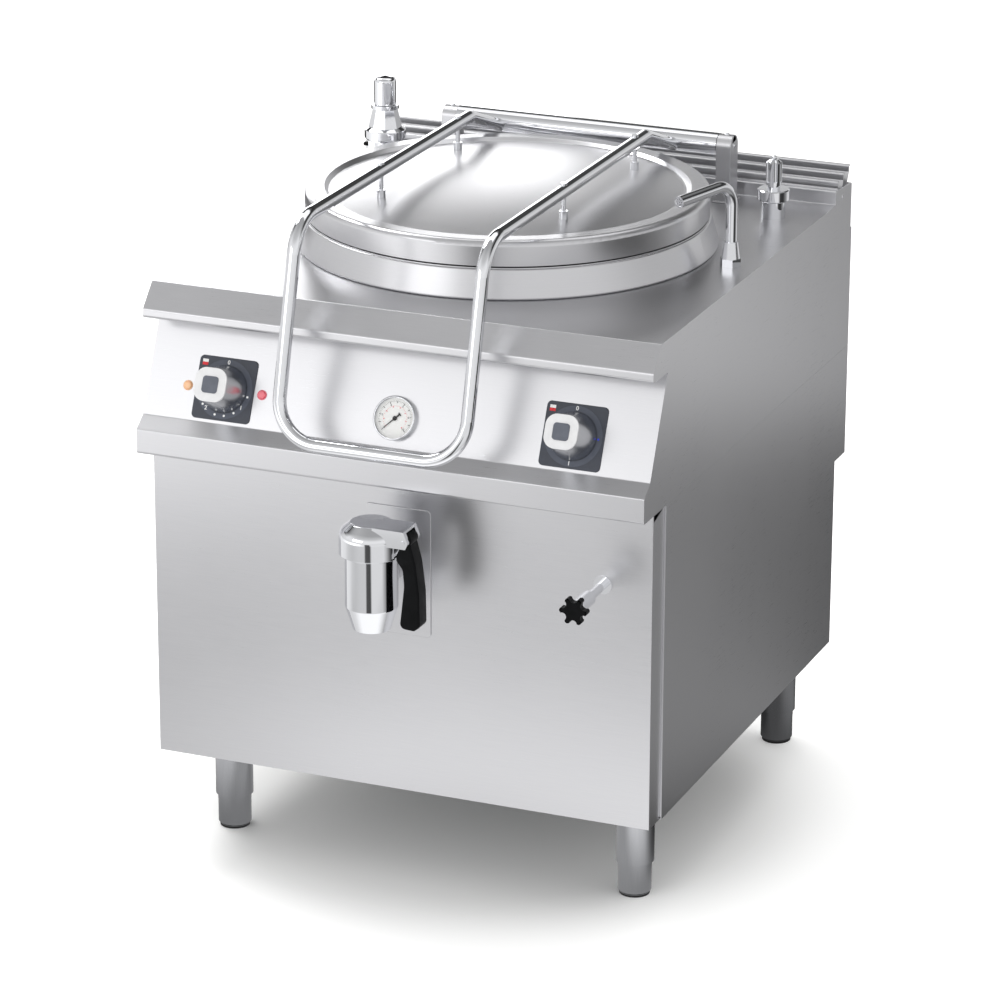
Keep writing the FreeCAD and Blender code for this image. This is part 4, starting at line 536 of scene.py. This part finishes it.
# ---- sheet parts and grips with their edges broken, as deburred or moulded ones are; widths in mm
softEdge = {"angle": 40.0, "segments": 2}
softParts = {"side_panel_left": 0.7, "side_panel_right": 0.7, "hinge_posts": 0.8, "drain_plate": 0.9,
             "knob_plates": 0.4, "knob_left_skirt": 0.6, "knob_right_skirt": 0.6, "drain_lever": 0.9,
             "star_knob": 0.9}


def soften(holder, width, segments, angle):
    bevel = holder.modifiers.new("soften", "BEVEL")
    bevel.width, bevel.segments = width * mm, segments
    bevel.limit_method, bevel.angle_limit = "ANGLE", math.radians(angle)
    bevel.harden_normals = True
    return bevel


def softenParts():
    for name, width in softParts.items():
        def build(holder, width=width):
            bevel = soften(holder, width, softEdge["segments"], softEdge["angle"])
            bevel.use_clamp_overlap = False
        welded = meshFrom(weldedCopy(name), name + "_welded")
        mesh = withModifiers(welded, name + "_sheet", build)
        finish = next(key for key, names in nodeFinish.items() if name in names)
        linkedPiece(name + "_sheet", mesh, bodyOfNode[name], finish, [name])
    print("sheet edges softened:", len(softParts))


# ---- knob faces: a pale ring round a slate centre
knobLook = {"across": 275.0, "up": 52.0, "centreSide": 26.6, "ringSoft": 1.3, "softSegments": 4,
            "softAngle": 50.0, "faceOut": 51.9}


def makeKnobFaces():
    look = knobLook
    tilt = math.radians(slopeLook["tilt"])
    upWay = Vector((0, math.cos(tilt), math.sin(tilt)))
    outWay = Vector((0, -math.sin(tilt), math.cos(tilt)))
    half = look["centreSide"] / 2 * mm
    for side, sign in (("left", -1), ("right", 1)):
        node = "knob_" + side + "_face"

        def build(holder):
            soften(holder, look["ringSoft"], look["softSegments"], look["softAngle"])
        mesh = withModifiers(meshFrom(weldedCopy(node), node + "_welded"), node + "_ring", build)
        mesh.materials.clear()
        mesh.materials.append(finishes["paleCap"])
        mesh.materials.append(finishes["slateCap"])
        middle = onSlope(sign * look["across"], look["up"], 0)
        for face in mesh.polygons:
            away = face.center - middle
            inside = abs(away.x) < half and abs(away.dot(upWay)) < half
            if inside and away.dot(outWay) > look["faceOut"] * mm:
                face.material_index = 1
        linkedPiece(node + "_ring", mesh, bodyOfNode[node], None, [node])
    print("knob faces made")


# ---- printed marks on the knob plates; places are across and up from the knob's middle
plateLook = {"print": 1.56, "overRing": 0.08, "ringIn": 36.2, "ringOut": 44.0, "ringHalf": 0.04,
             "numberSize": 8.6, "dot": 1.75, "dotHalf": 0.03, "flagWidth": 9.0, "flagHeight": 9.0,
             "flagX": -37.5, "flagTopY": 39.0, "blueDot": 1.6, "blueX": 38.0}
leftMarks = {"numbers": [("0", 0.0, 39.7), ("1", 30.5, -24.2), ("2", -25.5, -30.5)],
             "dots": [(38.0, -7.3), (20.2, -33.1), (5.5, -39.0), (-9.5, -38.6), (-31.3, -25.4)]}
rightMarks = {"numbers": [("0", -0.5, 40.2), ("1", -0.5, -39.5)], "dots": []}


def flatMove(mesh, x, y):
    mesh.transform(Matrix.Translation((x * mm, y * mm, 0)))
    return mesh


def makePlateMarks():
    look, up = plateLook, knobLook["up"]
    inkOut = look["print"] + look["overRing"]
    for side, sign, marks in (("left", -1, leftMarks), ("right", 1, rightMarks)):
        across = sign * knobLook["across"]
        inner, outer, half = look["ringIn"], look["ringOut"], look["ringHalf"]
        ring = turnedMesh("ring", [(inner, -half), (outer, -half), (outer, half), (inner, half),
                                   (inner, -half)], 96)
        toSlope(ring, across, up, look["print"])
        linkedPiece("plate_ring_" + side, ring, "cabinet", "slateRing")
        meshes = [flatMove(wordMesh("number", text, look["numberSize"]), x, y)
                  for text, x, y in marks["numbers"]]
        meshes += [flatMove(discMesh("dot", look["dot"], look["dotHalf"], 20), x, y)
                   for x, y in marks["dots"]]
        # the flag is half white and half red
        halfFlag = look["flagHeight"] / 2
        flagTop = barMesh("flag", look["flagWidth"], halfFlag)
        meshes.append(flatMove(flagTop, look["flagX"], look["flagTopY"]))
        white = joinedMesh("plate_print_" + side, meshes)
        toSlope(white, across, up, inkOut)
        linkedPiece("plate_print_" + side, white, "cabinet", "whitePrint")
        flagLow = barMesh("plate_flag_" + side, look["flagWidth"], halfFlag)
        flatMove(flagLow, look["flagX"], look["flagTopY"] - halfFlag)
        toSlope(flagLow, across, up, inkOut)
        linkedPiece("plate_flag_" + side, flagLow, "cabinet", "redPrint")
    blue = discMesh("plate_dot_blue", look["blueDot"], look["dotHalf"], 20)
    toSlope(blue, knobLook["across"] + look["blueX"], up, inkOut)
    linkedPiece("plate_dot_blue", blue, "cabinet", "bluePrint")
    print("plate marks made")


# ---- pressure gauge: printed dial with two scales, whose marks are set by the node tree
gaugeLook = {"across": 0.0, "up": 43.0, "dialOut": 3.1, "radius": 29.7, "dialHalf": 0.05, "printOut": 0.12,
             "first": 225.0, "sweep": -270.0, "shortOut": 0.9, "numbers": ["0", "2", "4", "6", "8", "10"],
             "numberRadius": 20.6, "numberSize": 4.0, "handOut": 4.25, "handThick": 0.5}
# each scale: its radius, then count, length and width of its long and of its short marks
gaugeScales = {
    "black": {"radius": 24.2, "long": (11, 3.6, 0.95), "short": (51, 1.7, 0.42), "slot": "black_plastic"},
    "red": {"radius": 17.4, "long": (8, 2.8, 0.95), "short": (36, 1.3, 0.42), "slot": "red_lens"},
}
handOutline = [(-9, 3.0), (-8.4, 1.2), (-2.4, 0.9), (21.6, 0.4), (22.0, 0), (21.6, -0.4), (-2.4, -0.9),
               (-8.4, -1.2), (-9, -3.0), (-10.4, -2.6), (-10.4, 2.6)]
hubProfile = [(0, -0.9), (3.2, -0.9), (3.4, 0.6), (2.7, 1.0), (0, 1.15)]


def makeGauge():
    look = gaugeLook
    across, up, inkOut = look["across"], look["up"], look["dialOut"] + look["printOut"]
    dial = discMesh("gauge_dial", look["radius"], look["dialHalf"], 96)
    toSlope(dial, across, up, look["dialOut"])
    linkedPiece("gauge_dial", dial, "cabinet", "dialWhite")
    for color, given in gaugeScales.items():
        marks = []
        for kind, out in (("long", 0.0), ("short", look["shortOut"])):
            count, length, width = given[kind]
            mark = hiddenObject(kind + "Mark", barMesh(kind + "Mark", length, width))
            marks.append(marksOnArc(kind + "Marks", mark, color + "Print", count, given["radius"] + out,
                                    look["first"], look["sweep"]))
            bpy.data.objects.remove(mark)
        scale = joinedMesh("gauge_scale_" + color, marks)
        toSlope(scale, across, up, inkOut)
        linkedPiece("gauge_scale_" + color, scale, "cabinet", color + "Print")
    words = []
    for count, text in enumerate(look["numbers"]):
        angle = math.radians(look["first"] + look["sweep"] * count / (len(look["numbers"]) - 1))
        words.append(flatMove(wordMesh("number", text, look["numberSize"]),
                              look["numberRadius"] * math.cos(angle), look["numberRadius"] * math.sin(angle)))
    numbers = joinedMesh("gauge_numbers", words)
    toSlope(numbers, across, up, inkOut)
    linkedPiece("gauge_numbers", numbers, "cabinet", "blackPrint")

    # the hand has a wide tail and a domed hub
    work = bmesh.new()
    flat = work.faces.new([work.verts.new((x * mm, y * mm, 0)) for x, y in handOutline])
    lifted = bmesh.ops.extrude_face_region(work, geom=[flat])["geom"]
    bmesh.ops.translate(work, verts=[item for item in lifted if isinstance(item, bmesh.types.BMVert)],
                        vec=(0, 0, look["handThick"] * mm))
    hand = joinedMesh("gauge_needle_hand", [meshFrom(work, "blade"), turnedMesh("hub", hubProfile, 32)])
    hand.transform(Matrix.Rotation(math.radians(look["first"]), 4, "Z"))
    toSlope(hand, across, up, look["handOut"])
    linkedPiece("gauge_needle_hand", hand, bodyOfNode["gauge_needle"],
                "blackPrint", ["gauge_needle"])
    print("gauge made")


# ---- spout end: a flow screen a little inside the tube's mouth, with its holes drawn as flat black discs of painted shade
spoutLook = {"tip": (318.0, -63.75, 1024.0), "from": (359.0, 52.25, 1028.0), "inside": 0.8, "radius": 7.4,
             "dish": 1.2, "rim": 0.6, "back": 2.0, "hole": 0.8, "holeHalf": 0.05, "holeRing": 4.4, "holes": 8}


def makeSpoutScreen():
    look = spoutLook
    radius, rim, back = look["radius"], look["rim"], look["back"]
    tip, start = (Vector(look[key]) * mm for key in ("tip", "from"))
    outWay = (tip - start).normalized()
    turn = outWay.to_track_quat("Z", "Y").to_matrix().to_4x4()
    place = Matrix.Translation(tip - outWay * look["inside"] * mm) @ turn
    disc = turnedMesh("disc", [(0, 0), (radius - look["dish"], 0), (radius - rim, rim), (radius, rim),
                               (radius, -back), (0, -back)], 48)
    disc.transform(place)
    linkedPiece("spout_screen", disc, bodyOfNode["spout"], "fitting")
    dots = []
    for step in range(look["holes"] + 1):  # a ring of holes, and one in the middle
        angle = 2 * math.pi * step / look["holes"]
        out = look["holeRing"] if step < look["holes"] else 0.0
        dots.append(flatMove(discMesh("dot", look["hole"], look["holeHalf"], 16),
                             out * math.cos(angle), out * math.sin(angle)))
    # painted shade: flat black discs on the screen stand in for the dark inside its holes
    holes = joinedMesh("spout_screen_holes", dots)
    holes.transform(place)
    linkedPiece("spout_screen_holes", holes, bodyOfNode["spout"], "blackPrint")
    print("spout screen made")


# ---- screws: domed heads with a hexagon socket, set on points by the node tree
screwLook = {"radius": 4.0, "height": 1.6, "socket": 2.1, "socketDepth": 1.1, "sunk": 0.3, "edge": 0.25,
             "steps": 36}
domeShares = [(0.93, 0.55), (0.78, 0.9)]  # of the head's radius and height
screwPlaces = {
    "fixed_screws": [(side * across, y, z, way) for side in (-1, 1)
                     for across, y, z, way in ((398.8, 457.25, 906.0, (side, 0, 0)),
                                               (243.5, 388.75, 988.5, (side, 0, 0)),
                                               (231.5, 388.75, 1006.0, (0, 0, 1)))],
    "rear_screws": [(x, 458.25, z, (0, 1, 0)) for x in (-380, -130, 130, 380) for z in (185, 300, 430)],
}


def screwHead():
    look = screwLook
    radius, height, socket, sunk = look["radius"], look["height"], look["socket"], look["sunk"]
    dome = [(radius * wide, height * high) for wide, high in domeShares]
    floor = height - look["socketDepth"]
    head = turnedMesh("screwHead", [(0, -sunk), (radius, -sunk), (radius, look["edge"])] + dome
                      + [(socket * 1.12, height), (socket, height), (socket, floor), (0, floor)],
                      look["steps"])
    for vertex in head.vertices:  # socket corners: pull the round wall out to a hexagon
        flat = math.hypot(vertex.co.x, vertex.co.y)
        if abs(flat - socket * mm) < 0.02 * mm:
            angle = math.atan2(vertex.co.y, vertex.co.x) % (math.pi / 3) - math.pi / 6
            grow = math.cos(math.pi / 6) / math.cos(angle)
            vertex.co.x *= grow
            vertex.co.y *= grow
    return head


def makeScrews():
    head = hiddenObject("screwHead", screwHead())
    for name, places in screwPlaces.items():
        points = bpy.data.meshes.new(name + "_points")
        points.from_pydata([Vector(place[:3]) * mm for place in places], [], [])
        ways = points.attributes.new("facing", "FLOAT_VECTOR", "POINT")
        for spot, place in zip(ways.data, places):
            spot.vector = place[3]
        mesh = runTree(name, screwTree, screwSockets,
                       {"Screw": head, "Seed": 7, "Material": finishes["fitting"]}, points)
        replaced = ["screws"] if name == "fixed_screws" else []
        linkedPiece(name, mesh, "cabinet", "fitting", replaced)
    bpy.data.objects.remove(head)
    print("screws set:", sum(len(places) for places in screwPlaces.values()))


# ---- rubber soles under the levelling feet
soleLook = {"radius": 23.2, "height": 3.9, "edge": 0.6, "lift": 0.02, "steps": 72}
footPlaces = {"front_left": (-331, -242.75), "front_right": (331, -242.75),
              "rear_left": (-331, 406.25), "rear_right": (331, 406.25)}


def makeSoles():
    look = soleLook
    radius, height, edge, lift = look["radius"], look["height"], look["edge"], look["lift"]
    for name, (x, y) in footPlaces.items():
        sole = turnedMesh("sole_" + name, [(0, lift), (radius - edge, lift), (radius, edge),
                                           (radius, height - edge), (radius - edge, height), (0, height)],
                          look["steps"])
        linkedPiece("sole_" + name, flatMove(sole, x, y), "levelling_" + name, "blackRubber")
    print("soles made")


# ---- screw thread of the water inlet at the rear
threadLook = {"x": 330.0, "z": 300.0, "from": 468.0, "length": 16.5, "pitch": 1.8, "root": 12.9,
              "crest": 13.32, "perTurn": 40}
# one thread's section: place along, as a share of the pitch, and how far it is out to the crest
threadFlank = [(-0.46, 0.0), (-0.1, 1.0), (0.1, 1.0), (0.46, 0.0)]


def makeThread():
    look = threadLook
    work = bmesh.new()
    perTurn = look["perTurn"]
    steps = int(look["length"] / look["pitch"] * perTurn)
    rows = []
    for k in range(steps + 1):
        angle = 2 * math.pi * k / perTurn
        along = look["from"] + look["pitch"] * k / perTurn
        fade = min(1.0, k / perTurn, (steps - k) / perTurn)  # it runs in and out over one turn
        row = []
        for offset, share in threadFlank:
            radius = look["root"] + (look["crest"] - look["root"]) * share * fade
            row.append(work.verts.new(((look["x"] + radius * math.cos(angle)) * mm,
                                       (along + offset * look["pitch"]) * mm,
                                       (look["z"] + radius * math.sin(angle)) * mm)))
        rows.append(row)
    for low, high in zip(rows, rows[1:]):
        for k in range(4):
            work.faces.new([low[k], low[(k + 1) % 4], high[(k + 1) % 4], high[k]])
    work.faces.new(rows[0][::-1])
    work.faces.new(rows[-1])
    linkedPiece("inlet_thread", meshFrom(work, "inlet_thread"), bodyOfNode["water_inlet"],
                "brass")
    print("thread made")


softenParts()
makeKnobFaces()
makePlateMarks()
makeGauge()
makeSpoutScreen()
makeScrews()
makeSoles()
makeThread()


# ---- studio: pale floor, soft lamps, level light
studioLook = {"floorSize": 30.0, "floorColor": "#F4F4F3", "floorLift": 0.30, "liftFrom": 0.36, "liftTo": 0.58,
              "skyStrength": 1.0, "underShade": 0.40, "underFrom": 0.45, "underTo": 0.75, "wallBlend": 0.25}
# what bright metal sees of the floor, by direction round the object: 0 is -X, 0.25 the front, 0.5 +X;
# each ring starts to show at its first distance and is alone from its second
floorRings = [
    (0.0, 0.0, [(0.0, 1.0), (0.10, 0.80), (0.147, 0.90), (0.20, 1.25), (0.33, 1.28), (0.42, 0.90),
                (0.46, 0.30), (0.50, 0.10), (0.528, 0.30), (0.63, 0.27), (0.66, 0.13), (0.69, 0.09),
                (0.76, 0.05), (0.925, 0.04), (0.945, 1.0), (1.0, 1.0)]),
    (0.85, 1.45, [(0.0, 1.0), (0.07, 0.90), (0.12, 0.62), (0.15, 0.62), (0.20, 0.73), (0.27, 0.74),
                  (0.33, 0.74), (0.40, 0.72), (0.44, 0.30), (0.47, 0.05), (0.50, 0.06), (0.528, 0.36),
                  (0.63, 0.29), (0.655, 0.17), (0.68, 0.09), (0.76, 0.05), (0.925, 0.04), (0.945, 1.0),
                  (1.0, 1.0)]),
    (1.55, 1.75, [(0.0, 1.0), (0.07, 0.92), (0.11, 0.72), (0.15, 0.65), (0.20, 0.71), (0.248, 0.72),
                  (0.256, 0.10), (0.29, 0.08), (0.302, 0.85), (0.40, 0.85), (0.44, 0.35), (0.465, 0.05),
                  (0.50, 0.05), (0.53, 0.36), (0.63, 0.29), (0.655, 0.17), (0.68, 0.09), (0.76, 0.05),
                  (0.925, 0.04), (0.945, 1.0), (1.0, 1.0)]),
    (2.05, 2.45, [(0.0, 1.0), (0.10, 1.40), (0.167, 1.85), (0.20, 1.45), (0.225, 1.10), (0.246, 0.90),
                  (0.256, 0.12), (0.29, 0.08), (0.302, 0.90), (0.42, 0.90), (0.455, 0.05), (0.52, 0.04),
                  (0.58, 0.30), (0.63, 0.75), (0.66, 1.0), (0.68, 0.45), (0.69, 0.28), (0.72, 0.08),
                  (0.76, 0.04), (0.925, 0.03), (0.945, 1.0), (1.0, 1.0)]),
]
# what it sees of the room, by height: the back wall and the front
backWall = [(0.0, 0.78), (0.25, 0.70), (0.268, 0.68), (0.278, 0.34), (0.289, 0.28), (0.296, 0.62),
            (0.33, 0.75), (0.36, 0.08), (0.60, 0.03), (0.74, 0.30), (1.0, 0.44)]
frontWall = [(0.0, 0.85), (0.30, 1.0), (0.52, 0.92), (0.72, 0.66), (0.86, 0.58), (1.0, 0.42)]


def makeFloor():
    look = studioLook
    mesh = bpy.data.meshes.new("studioFloor")
    half = look["floorSize"] / 2
    corners = [(-half, -half, 0), (half, -half, 0), (half, half, 0), (-half, half, 0)]
    mesh.from_pydata(corners, [], [(0, 1, 2, 3)])
    floor = bpy.data.objects.new("studioFloor", mesh)
    bpy.context.scene.collection.objects.link(floor)
    material = bpy.data.materials.new("studio floor")
    material.use_nodes = True
    tree = material.node_tree
    tree.nodes.clear()
    rays = addNode(tree, "ShaderNodeLightPath")
    seen = addNode(tree, "ShaderNodeMath", {"operation": "MAXIMUM"},
                   {0: rays.outputs["Is Camera Ray"], 1: rays.outputs["Is Transmission Ray"]})
    diffuse = addNode(tree, "ShaderNodeBsdfDiffuse", {"Color": linearColor(look["floorColor"])})
    place = addNode(tree, "ShaderNodeTexCoord").outputs["Object"]
    turn = addNode(tree, "ShaderNodeTexGradient", {"gradient_type": "RADIAL"}, {"Vector": place})
    far = addNode(tree, "ShaderNodeVectorMath", {"operation": "LENGTH"}, {0: place}).outputs["Value"]
    # the open floor goes white, and the shadow stays near the object
    lift = addNode(tree, "ShaderNodeMapRange", span(look["liftFrom"], look["liftTo"], 0.0, look["floorLift"],
                                                    interpolation_type="SMOOTHSTEP"), {"Value": far})
    strength = addNode(tree, "ShaderNodeMath", {"operation": "MULTIPLY"},
                       {0: seen.outputs[0], 1: lift.outputs[0]})
    glow = addNode(tree, "ShaderNodeEmission", {"Color": (1, 1, 1, 1)}, {"Strength": strength.outputs[0]})
    total = addNode(tree, "ShaderNodeAddShader", links={0: diffuse.outputs[0], 1: glow.outputs[0]})
    cards = None
    for start, full, stops in floorRings:
        ring = addNode(tree, "ShaderNodeValToRGB", {"stops": stops}, {0: turn.outputs["Fac"]}).outputs[0]
        if cards is not None:
            shown = addNode(tree, "ShaderNodeMapRange",
                            span(start, full, *fullSpan, interpolation_type="SMOOTHSTEP"), {"Value": far})
            ring = addNode(tree, "ShaderNodeMix", {"data_type": "RGBA"},
                           {0: shown.outputs[0], 6: cards, 7: ring}).outputs[2]
        cards = ring
    under = addNode(tree, "ShaderNodeMapRange",
                    span(look["underFrom"], look["underTo"], look["underShade"], 1.0,
                         interpolation_type="SMOOTHSTEP"), {"Value": far})
    cards = addNode(tree, "ShaderNodeMath", {"operation": "MULTIPLY"}, {0: cards, 1: under.outputs[0]})
    mirrored = addNode(tree, "ShaderNodeEmission", {"Color": (1, 1, 1, 1)}, {"Strength": cards.outputs[0]})
    final = addNode(tree, "ShaderNodeMixShader", links={0: rays.outputs["Is Glossy Ray"], 1: total.outputs[0],
                                                        2: mirrored.outputs[0]})
    addNode(tree, "ShaderNodeOutputMaterial", links={"Surface": final.outputs[0]})
    mesh.materials.append(material)


def makeSky():
    world = bpy.data.worlds.new("studio")
    bpy.context.scene.world = world
    world.use_nodes = True
    tree = world.node_tree
    tree.nodes.clear()
    rays = addNode(tree, "ShaderNodeLightPath")
    way = addNode(tree, "ShaderNodeTexCoord").outputs["Generated"]
    split = addNode(tree, "ShaderNodeSeparateXYZ", links={0: way})
    blend = studioLook["wallBlend"]
    towardBack = addNode(tree, "ShaderNodeMapRange", span(-blend, blend, *fullSpan),
                         {"Value": split.outputs[1]})
    front, back = (addNode(tree, "ShaderNodeValToRGB", {"stops": stops}, {0: split.outputs[2]})
                   for stops in (frontWall, backWall))
    room = addNode(tree, "ShaderNodeMix", {"data_type": "RGBA"},
                   {0: towardBack.outputs[0], 6: front.outputs[0], 7: back.outputs[0]})
    soft = addNode(tree, "ShaderNodeBackground",
                   {"Color": (1, 1, 1, 1), "Strength": studioLook["skyStrength"]})
    mirror = addNode(tree, "ShaderNodeBackground", {"Strength": 1.0}, {"Color": room.outputs[2]})
    plain = addNode(tree, "ShaderNodeBackground", {"Color": (1, 1, 1, 1), "Strength": 1.0})
    glossy = addNode(tree, "ShaderNodeMixShader", links={0: rays.outputs["Is Glossy Ray"], 1: soft.outputs[0],
                                                         2: mirror.outputs[0]})
    direct = addNode(tree, "ShaderNodeMath", {"operation": "MAXIMUM"},
                     {0: rays.outputs["Is Camera Ray"], 1: rays.outputs["Is Transmission Ray"]})
    final = addNode(tree, "ShaderNodeMixShader", links={0: direct.outputs[0], 1: glossy.outputs[0],
                                                        2: plain.outputs[0]})
    addNode(tree, "ShaderNodeOutputWorld", links={"Surface": final.outputs[0]})


lamps = [  # name, place, aim, width, height, watts
    ("wallLeftBack", (-2.0, 2.55, 1.4), (-0.3, 0.0, 0.9), 2.25, 1.5, 25.0),
    ("keyLeftTop", (-2.2, 0.8, 3.4), (0.0, 0.0, 0.4), 1.4, 1.4, 55.0),
    ("boxOverRear", (0.0, 0.85, 3.0), (0.0, 0.85, 0.0), 2.4, 1.4, 10.0),
    ("softFront", (-1.7, -3.6, 2.0), (0.0, -0.3, 0.7), 2.6, 1.3, 13.0),
]


def makeLamps():
    for name, place, aim, width, height, watts in lamps:
        light = bpy.data.lights.new(name, "AREA")
        light.shape = "RECTANGLE"
        light.size, light.size_y, light.energy = width, height, watts
        lamp = bpy.data.objects.new(name, light)
        lamp.location = place
        lamp.rotation_euler = (Vector(aim) - Vector(place)).to_track_quat("-Z", "Y").to_euler()
        bpy.context.scene.collection.objects.link(lamp)


# the focal length is in widths of the sensor
cameraLook = {"place": (2.515, -6.11075, 2.847), "yaw": 22.28, "down": 19.57, "roll": 0.21, "focal": 4.567,
              "sensor": 36.0, "nearest": 0.1, "furthest": 60.0}


def makeCamera():
    look = cameraLook
    data = bpy.data.cameras.new("photoCamera")
    data.sensor_width = look["sensor"]
    data.lens = look["sensor"] * look["focal"]
    data.clip_start, data.clip_end = look["nearest"], look["furthest"]
    camera = bpy.data.objects.new("photoCamera", data)
    turn = (Matrix.Rotation(math.radians(look["yaw"]), 4, "Z")
            @ Matrix.Rotation(math.radians(90 - look["down"]), 4, "X")
            @ Matrix.Rotation(math.radians(look["roll"]), 4, "Z"))
    camera.matrix_world = Matrix.Translation(look["place"]) @ turn
    bpy.context.scene.collection.objects.link(camera)
    bpy.context.scene.camera = camera


makeFloor()
makeSky()
makeLamps()
makeCamera()
bpy.context.scene.view_settings.view_transform = "Standard"
print("studio set")
